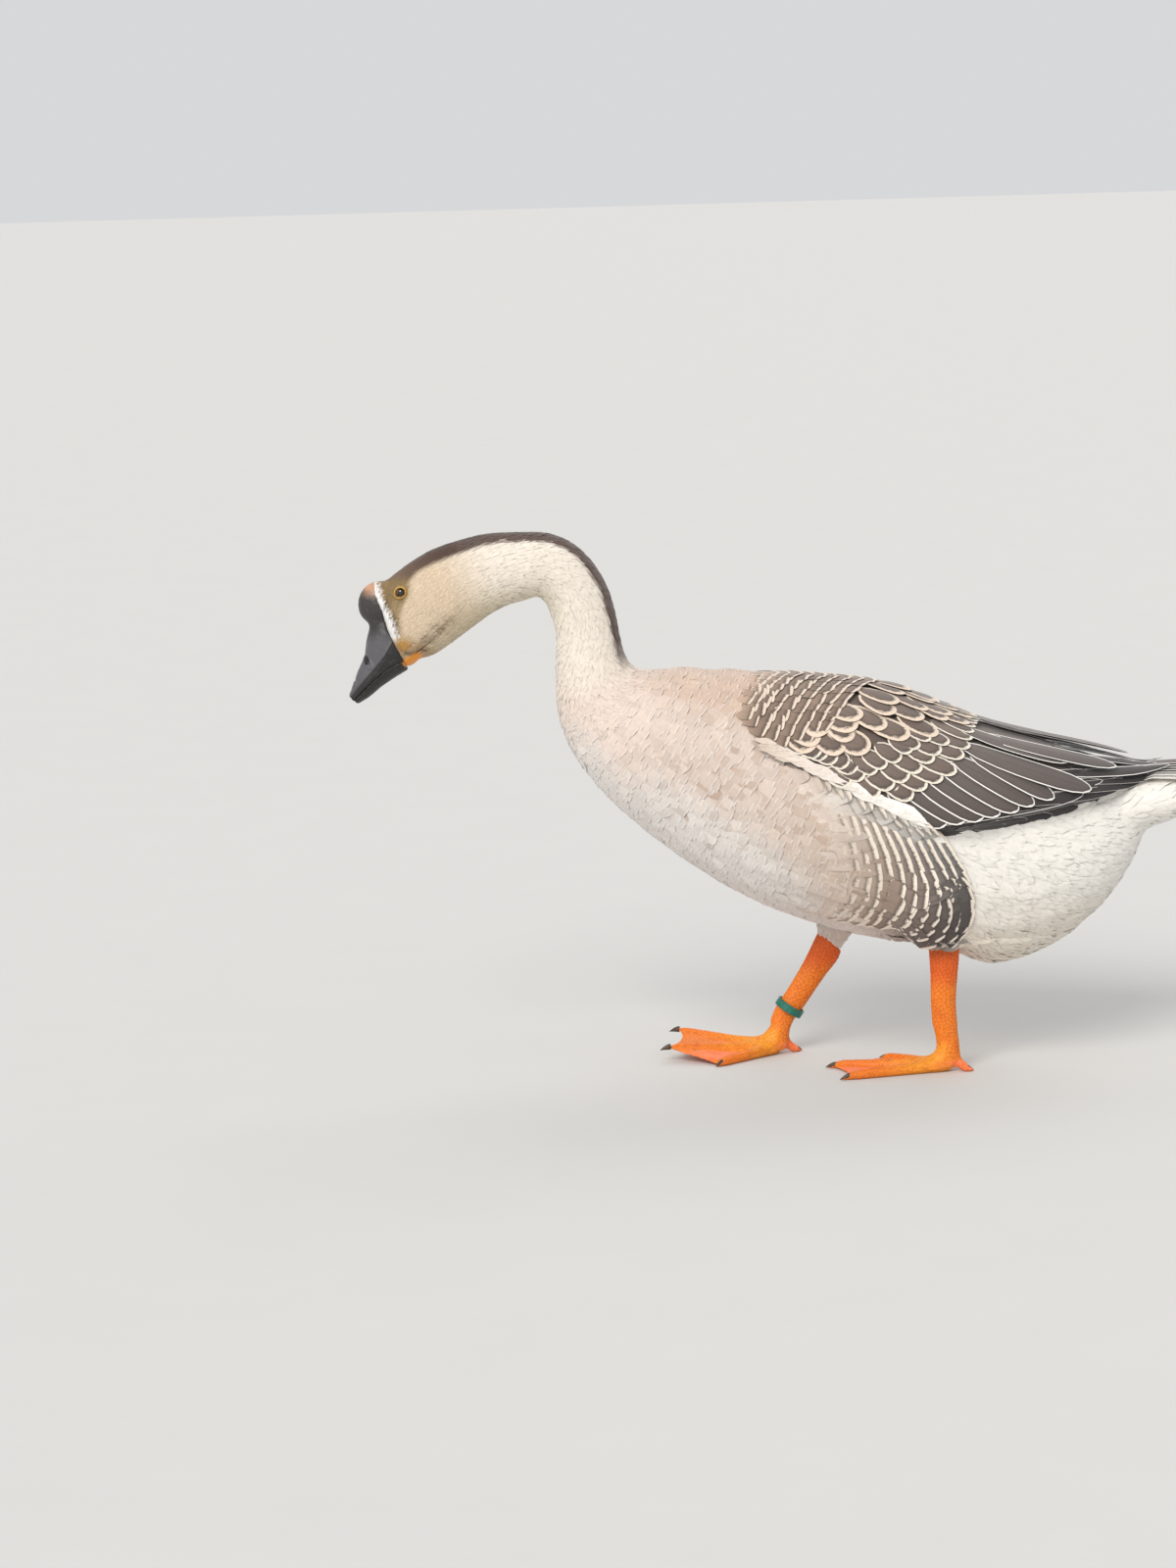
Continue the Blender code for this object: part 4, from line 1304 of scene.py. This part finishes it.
def layVane(x, turn, side, way, long, knots, stiff):  # a vane's path from its root to its tip at x and turn
    path, up = [], []
    for back in long * (1 - np.linspace(1, 0, knots)):
        rootward = max(turn - back * math.sin(way) / rowRadius, 0.01)
        place, normal = castRound(x - back * math.cos(way), rootward, side)
        if place is None:  # straight on past the skin's edge
            place, normal = (path[-1] + (path[-1] - path[-2]) if len(path) > 1 else path[-1]), up[-1]
        path.append(place)
        up.append(normal)
    path, up = np.array(path[::-1]), np.array(up[::-1])
    for _ in range(stiff):  # a stiff vane bridges hollows
        path[1:-1] = (path[:-2] + 2 * path[1:-1] + path[2:]) / 4
        up[1:-1] = up[:-2] + 2 * up[1:-1] + up[2:]
    return path, unit(unit(up) + unit(up.mean(0)))


def growRows(name, rows, side, table, finish, slot, shape="covert", knots=8):
    # A row has tips, a line of x and z; count, long, wide, way (degrees below level), and what else a vane
    # takes, most as values spread along the line. A square row's vanes stand square to its line.
    gathered = []
    for row in rows:
        line = [(x, turnAt(table, x, z)) for x, z in row["tips"]]
        gaps = [math.hypot(b[0] - a[0], rowRadius * (b[1] - a[1])) for a, b in zip(line, line[1:])]
        lengths = np.concatenate([[0], np.cumsum(gaps)])
        for i in range(row["count"]):
            share = (i + row.get("offset", 0.5)) / row["count"]
            reach = share * lengths[-1] + draws.normal(0, row.get("loose", 1.2))
            before, (x, turn), after = (
                [np.interp(spot, lengths, part) for part in zip(*line)]
                for spot in (reach - 8, reach, reach + 8)
            )
            way = math.radians(readList(share, row["way"]) + draws.normal(0, row.get("stray", 4)))
            if row.get("square"):
                way = math.atan2(before[0] - after[0], rowRadius * (after[1] - before[1])) + way
            long = readList(share, row["long"]) * (1 + draws.normal(0, 0.04))
            path, up = layVane(x, turn, side, way, long, knots, row.get("stiff", 3))
            shade = 1 + draws.normal(0, row.get("vary", 0.05))
            pale = readList(share, row["pale"]) if "pale" in row else 0
            white = wingTones["white"][1]
            root, tip = (np.array(c) + (white - np.array(c)) * pale for c in row["tones"])
            width = readList(share, row["wide"]) * (1 + draws.normal(0, 0.04))
            wanted = dict(vaneDefaults, paths=path, ups=up, width=width, root=root * shade, tip=tip * shade)
            for key in ("lift", "base", "rim", "camber", "roll", "thick"):
                if key in row:
                    wanted[key] = readList(share, row[key])
            wanted["roll"] *= -1 if side < 0 else 1
            wanted["base"] += draws.random() * 0.2
            wanted["rimTone"] = row.get("rimTone", vaneDefaults["rimTone"])
            gathered.append(wanted)
    vanes = {key: np.array([vane[key] for vane in gathered]) for key in gathered[0]}
    growVanes(name, shape, vanes, finish, slot)


wingTones = dict(  # at a vane's root and at its tip, and the rims' colours
    mantle=(tone(176, 150, 130), tone(112, 94, 82)), scapular=(tone(128, 110, 98), tone(100, 86, 78)),
    covert=(tone(126, 110, 100), tone(104, 90, 82)), quill=(tone(104, 93, 88), tone(84, 75, 72)),
    primary=(tone(60, 53, 52), tone(38, 34, 35)), white=(tone(238, 232, 222), tone(248, 245, 238)),
    soft=(tone(206, 188, 172), tone(218, 202, 188)), tail=(tone(96, 84, 78), tone(74, 64, 60)),
    rim=tone(236, 226, 210), whiteRim=tone(246, 242, 236),
)


def wingRows():
    tones = wingTones
    plain = dict(rimTone=tones["whiteRim"], lift=[1.5], stray=0.8, roll=[0.08], camber=[0.02])
    primary = dict(plain, tones=tones["primary"])
    primaries = [
        dict(primary, tips=[(170, 244), (236, 252), (306, 274)], count=6, long=[120, 170], wide=[16],
             way=[-4, -8], base=[0.4, 1.8], rim=[0.5], roll=[0.03]),
        dict(primary, tips=[(316, 274), (346, 268)], count=3, long=[92], wide=[14], way=[-6], lift=[8, 11],
             base=[1.0, 2.0], rim=[1.0], roll=[0.1]),
        dict(primary, tips=[(190, 246), (240, 247), (286, 263), (330, 270), (352, 273)], count=8,
             long=[70, 110], wide=[12], way=[0, -3], base=[1.6, 2.2], rim=[0.2], roll=[0.03]),
    ]
    quill = dict(plain, tones=tones["quill"], rim=[1.3])
    secondaries = dict(quill, tips=[(119, 245), (157, 249), (189, 253), (232, 263)], count=7, long=[64, 96],
                       wide=[24], way=[32, 36], base=[1.0, 2.8])
    tertials = [
        dict(quill, tips=[(x, z)] * 2, count=1, long=[long], wide=[wide], way=[way], base=[base], lift=[lift],
             loose=0.1)
        for x, z, long, wide, way, base, lift in [
            (262, 266, 140, 27, 29, 2.8, 3), (287, 279, 150, 25, 26, 3.0, 8),
            (243, 293, 122, 26, 26, 3.4, 3), (303, 288, 150, 22, 21, 3.2, 10),
            (268, 303, 128, 23, 21, 3.6, 6), (236, 315, 110, 22, 19, 3.8, 2.5),
        ]
    ]
    covert = dict(tones=tones["covert"], lift=[2.2], roll=[0.08], rimTone=tones["rim"], stray=4,
                  camber=[0.05])
    marginal = dict(covert, count=7, long=[20], wide=[14], way=[30], lift=[1.4], rim=[1.5])
    coverts = [
        dict(covert, tips=[(89, 266), (109, 281), (135, 292), (152, 317), (168, 337), (178, overTop)],
             count=13, long=[42, 46], wide=[20, 21], way=[32, 26], base=[2.4, 3.2], rim=[2.8]),
        dict(covert, tips=[(60, 272), (89, 287), (113, 301), (136, 322)], count=7, long=[34], wide=[20],
             way=[34, 30], base=[2.8, 3.4], rim=[2.8]),
        dict(covert, tips=[(34, 284), (60, 294), (88, 306), (118, 324)], count=8, long=[28], wide=[17],
             way=[34], base=[3.0, 3.6], rim=[2.5]),
        dict(covert, tips=[(-2, 318), (24, 308), (50, 295)], count=6, long=[30], wide=[20], way=[38],
             lift=[2.6], base=[2.2], rim=[2.4]),
        dict(marginal, tips=[(16, 312), (42, 300), (78, 281)], base=[1.2]),
        dict(marginal, tips=[(25, 309), (51, 297), (87, 278)], base=[2.2]),
    ]
    return primaries, [secondaries, *tertials], coverts


shoulder = dict(
    rows=10, across=10,  # the mantle's; its rows end low down along front, and on top between the x of top
    front=[(-50, 358), (-48, 349), (-43, 336), (-33, 325), (-17, 321), (1, 324), (22, 333)], top=(-30, 72),
    scapulars=[  # a line of tips, then count, long, wide, way, height at the root and more height at the tip
        ([(4, 312), (11, 321), (20, 332)], 3, 34, 22, 44, 1.8, 4.0),
        ([(26, 303), (42, 324), (56, 346)], 4, 42, 25, 43, 2.6, 3.4),
        ([(55, 311), (78, 336), (104, overTop)], 6, 46, 26, 38, 3, 3),
        ([(88, 317), (107, 335), (129, overTop)], 5, 46, 26, 34, 3, 3),
        ([(119, 324), (134, 339), (150, overTop)], 4, 46, 25, 30, 3, 3),
        ([(150, 330), (162, 338), (173, overTop)], 3, 44, 24, 26, 3, 3),
    ],
    scapularRim=tone(226, 206, 186), mantleRim=tone(226, 208, 190),
)


def staggered(number):  # where in its space a row's first vane stands, so that rows lie like tiles
    return 0.3 + 0.4 * (number % 2)


def shoulderRows():
    scapulars = [
        dict(tips=tips, count=count, long=[long], wide=[wide], way=[way], lift=[rise], base=[base],
             tones=wingTones["scapular"], rim=[4.4, 5.4], rimTone=shoulder["scapularRim"], loose=3.0, stray=8,
             roll=[0.08], offset=staggered(k), vary=0.1, camber=[0.05])
        for k, (tips, count, long, wide, way, base, rise) in enumerate(shoulder["scapulars"])
    ]
    mantle = []
    first, last = shoulder["top"]
    for k in range(shoulder["rows"]):
        share, low = k / (shoulder["rows"] - 1), min(k / 3, 1)
        colours = [np.array(c) * low + coatTones["back"] * (1 - low) for c in wingTones["mantle"]]
        start = tuple(readList(share, part) for part in zip(*shoulder["front"]))
        mantle.append(dict(
            tips=[start, (first + (last - first) * share, overTop)], count=shoulder["across"],
            long=[15 + 12 * share, 19 + 12 * share], wide=[14 + 5 * share, 18 + 6 * share],
            way=[14 + 10 * share], lift=[1.4 + 2.6 * low], base=[0.2 + 0.8 * low], tones=colours,
            rim=[2.6, 3.2], rimTone=shoulder["mantleRim"], loose=1.5, stray=6, offset=staggered(k),
            roll=[0.04], camber=[0.03], vary=0.09,
        ))
    return scapulars, mantle


flank = dict(  # bars of vanes from the front line to the rear one, and their tones on the way
    front=[(-14, 311), (4, 262), (12, 232), (14, 205), (8, 180), (-10, 150), (-30, 130)],
    rear=[(112, 248), (128, 228), (143, 200), (151, 176), (152, 152), (144, 131), (132, 114)],
    columns=13, down=14, start=0.1, plain=2,
    tones=[(0.12, (209, 192, 179)), (0.3, (194, 174, 158)), (0.45, (160, 136, 118)), (0.75, (102, 84, 76)),
           (0.9, (66, 54, 50)), (1, (52, 42, 40))],
    rimTone=tone(240, 228, 212), edgeRows=3, edgeCount=34,
)


def flankRows():
    front, rear = np.array(flank["front"], float), np.array(flank["rear"], float)
    shares, tones = zip(*flank["tones"])
    rows = []
    for k in range(flank["columns"]):
        share = flank["start"] + (1 - flank["start"]) * k / (flank["columns"] - 1)
        low = min(k / 4, 1)
        colour = tone(*(np.interp(share, shares, part) for part in zip(*tones)))
        rimShare = ease(np.array(share), 0.05, 0.45)
        rows.append(dict(
            tips=[tuple(p) for p in front + (rear - front) * share], count=flank["down"],
            long=[26, 34, 36, 32], wide=[22, 24, 25, 23, 20], way=[0], square=True,
            tones=(colour * 1.15, colour * 0.95), pale=[0.6 * low, 0.15, 0.05, 0],
            lift=[1.2 + 1.4 * share], base=[2.2 * low, 0.9 * low, 0.5 * low, 0.4 * low],
            rim=[4.4 - 1.4 * share], rimTone=colour + (flank["rimTone"] - colour) * rimShare,
            loose=0.5, stray=2, offset=staggered(k), vary=0.03, camber=[0.03], thick=[0.2],
        ))
    edges = [
        dict(tips=[(x + 2 * k, z + 2 - 3 * k) for x, z in flankEdge], count=flank["edgeCount"], long=[20, 28],
             wide=[6, 8], way=[22, 32], tones=wingTones["soft"], pale=[0, 0.4, 0.85, 0.9], lift=[0.9, 1.2],
             base=[4.4, 3.8], loose=2, stray=4, vary=0.04, thick=[0.3], stiff=14)
        for k in range(flank["edgeRows"])
    ]
    return rows, edges


tail = dict(  # in millimetres; spread and gather are half the fan's width at its tip and at its root
    count=14, root=296, tip=418, spread=50, gather=14, wide=21, curve=16, lift=7, lean=0.08, knots=8,
)


def tailVane(solid, share):  # the path of the feather at a share of the way out to the fan's side
    path = []
    for t in np.linspace(0, 1, tail["knots"]):
        y = share * (tail["gather"] + (tail["spread"] - tail["gather"]) * t)
        x = tail["root"] + (tail["tip"] - tail["root"] - tail["curve"] * share**2) * t
        place = solid.ray_cast(Vector((x * mm, y * mm * 0.9, 0.5)), Vector((0, 0, -1)))[0]
        high = place.z if place else 2 * path[-1][2] - path[-2][2]  # straight on past the edge
        path.append((x * mm, y * mm, high))
    return path


def makeTail(finish):  # the tail's fan, its middle pair on top
    solid = treeOf(*settled(*joined(["tail"], 0)))
    shares = np.linspace(-1, 1, tail["count"])
    shares = shares[np.argsort(-np.abs(shares))]
    paths = np.array([tailVane(solid, share) for share in shares])
    ups = np.zeros_like(paths)
    ups[:, :, 1] = tail["lean"] * shares[:, None]
    ups[:, :, 2] = 1
    outer = ease(np.abs(shares), 0.62, 0.9)[:, None]
    white = wingTones["white"][1]
    root, tip = (c + (white - c) * outer for c in wingTones["tail"])
    vanes = dict(
        paths=paths, ups=unit(ups), width=tail["wide"], root=root, tip=tip,
        base=tail["lift"] * (1 - np.abs(shares)) + 0.3, lift=0.5, rim=1.8, rimTone=wingTones["whiteRim"],
        camber=0.02, thick=0.4,
    )
    growVanes("tail_feathers", "quill", vanes, finish, "brown_plumage")


def onward(start, end):  # a measure that grows smoothly from the head's rear to the breast
    return lambda along: np.interp(along, [stationAt(-329, 458), stationAt(-120, 305)], [start, end])


tracts = {  # spacing, long, wide and lift in millimetres, of the tufts on each part of the body
    "coat_face": dict(spacing=1.6, long=5.5, wide=2.4, lift=0.4, vary=0.035, own=1.0),
    "coat_neck": dict(
        spacing=2.3, long=onward(9, 16), wide=onward(3.0, 5.4), lift=onward(0.4, 1.2), vary=0.03, pale=0.04,
        base=0.2,
    ),
    "coat_breast": dict(
        shape="contour", steps=4, spacing=5.0, long=onward(16, 24), wide=onward(10, 17),
        lift=onward(0.9, 1.6), vary=0.04, rim=onward(0.8, 1.9), roll=0.02, thick=0.25, pale=0.04,
    ),
    "coat_vent": dict(
        spacing=3.8, steps=4, long=32, wide=9, lift=1.7, spread=0.15, vary=0.02, wave=1.4, roll=0.05,
        winged=False, slot="white_plumage",
    ),
    "coat_thigh": dict(spacing=2.4, long=8, wide=4.5, lift=0.7, vary=0.03),
}


def bareSkin(x, z):  # which points of the skin have no tufts: on the bill, under the gape and at the eyes
    onBill = (gapsTo(treeOf(*joined(["bill_upper", "bill_lower", "knob"], 0)), skinPoints) / mm < 1.0)
    orange, fold = barePatches(skinPoints)
    bare = onBill & (x > readLine(z, headMarks["bandRear"]))
    bare |= ((orange > 0.3) | (fold > 0.15)) & (z < -30)
    for side in sides.values():
        bare |= np.linalg.norm(skinPoints - eyeSeat(side)[0], axis=1) < (eye["lidOut"] - 0.9) * mm
    return bare


def coatRegions():  # which points of the skin each tract covers
    along = onBody(skinPoints)[0]
    x, y, z = (skinPoints / mm).T
    head = along < stationAt(-305, 470)
    onBreast = between(along, (-191, 370), (-160, 330))
    body = (onBreast > 0) & ~onWing(skinPoints)
    onLeg = onThigh(skinPoints)
    ventEdge = readLine(z, ventFront)
    underWing = (z > readLine(x, wingLow) - 9) & (x < 300)
    tailSides = (x > 320) & (skinNormals[:, 2] >= -0.3)
    vent = body & (x > ventEdge - 6) & (x < 382) & ~tailSides & ~underWing
    flanks = (x > 36) & (z > 150) & (np.abs(y) > 40)
    kneeBare = (y < 0) & (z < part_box("shank_left")[1].z / mm + leg["bare"]) & (x > 90)
    return {
        "coat_face": head & ~bareSkin(*headFlat(skinPoints)),
        "coat_neck": ~head * (1 - onBreast),
        "coat_breast": (body & ~vent & ~flanks & ~kneeBare & ~onLeg & (x < ventEdge)) * onBreast,
        "coat_vent": vent,
        "coat_thigh": body & onLeg & (z > 117),
    }


def makeCoat():
    down, colour, patch = plumageFinish("soft plumage")
    down.wear(Base_Color=colour, Normal=down.bump(patch, 0.2 * mm))
    breast = vaneFinish("breast plumage", shaft=0, shade=0.05, soft=0.75)
    quill = vaneFinish("vaned plumage", shaft=0.3, shade=0.4, soft=0.4)
    scaled = vaneFinish("rimmed plumage", shaft=0.15, shade=0.5, soft=0.75)
    for name, chosen in coatRegions().items():
        finish = breast if name == "coat_breast" else down
        growTufts(name, chosen.astype(float), tracts[name], finish)
    makeTail(quill)
    for name, side in sides.items():
        table = makeTurnTable(side)
        primaries, quills, coverts = wingRows()
        scapulars, mantle = shoulderRows()
        bars, edges = flankRows()
        plain = flank["plain"]
        growRows(f"primaries_{name}", primaries, side, table, quill, "brown_plumage", "quill", 10)
        growRows(f"wing_quills_{name}", quills, side, table, quill, "brown_plumage", "quill", 10)
        growRows(f"wing_coverts_{name}", coverts, side, table, scaled, "brown_plumage")
        growRows(f"scapulars_{name}", scapulars, side, table, scaled, "brown_plumage")
        growRows(f"mantle_{name}", mantle, side, table, scaled, "brown_plumage", "broad")
        growRows(f"flank_front_{name}", bars[:plain], side, table, breast, "cream_plumage", "broad")
        growRows(f"flank_{name}", bars[plain:], side, table, scaled, "cream_plumage", "broad")
        growRows(f"flank_edge_{name}", edges, side, table, down, "white_plumage", "tuft")


print("camera, lamps and floor")
makeCamera()
makeLamps()
makeFloor()
print("skin")
skinPoints, skinSizes, skinCorners = makeSkin()
skinTree = treeOf(skinPoints, skinSizes, skinCorners)
skin = newPiece("skin", skinPoints, skinSizes, skinCorners)
paint(skin, "markings", markings(skinPoints, *onBody(skinPoints)[:2]))
dress(skin, skinFinish(), "cream_plumage", *skinShape["nodes"])
print("bill and knob")
makeBill()
print("eyes")
makeEyes()
print("legs, feet and claws")
makeLegs()
print("leg ring")
makeRing()
print("coat")
skinLie, skinNormals = makeLie()
makeCoat()
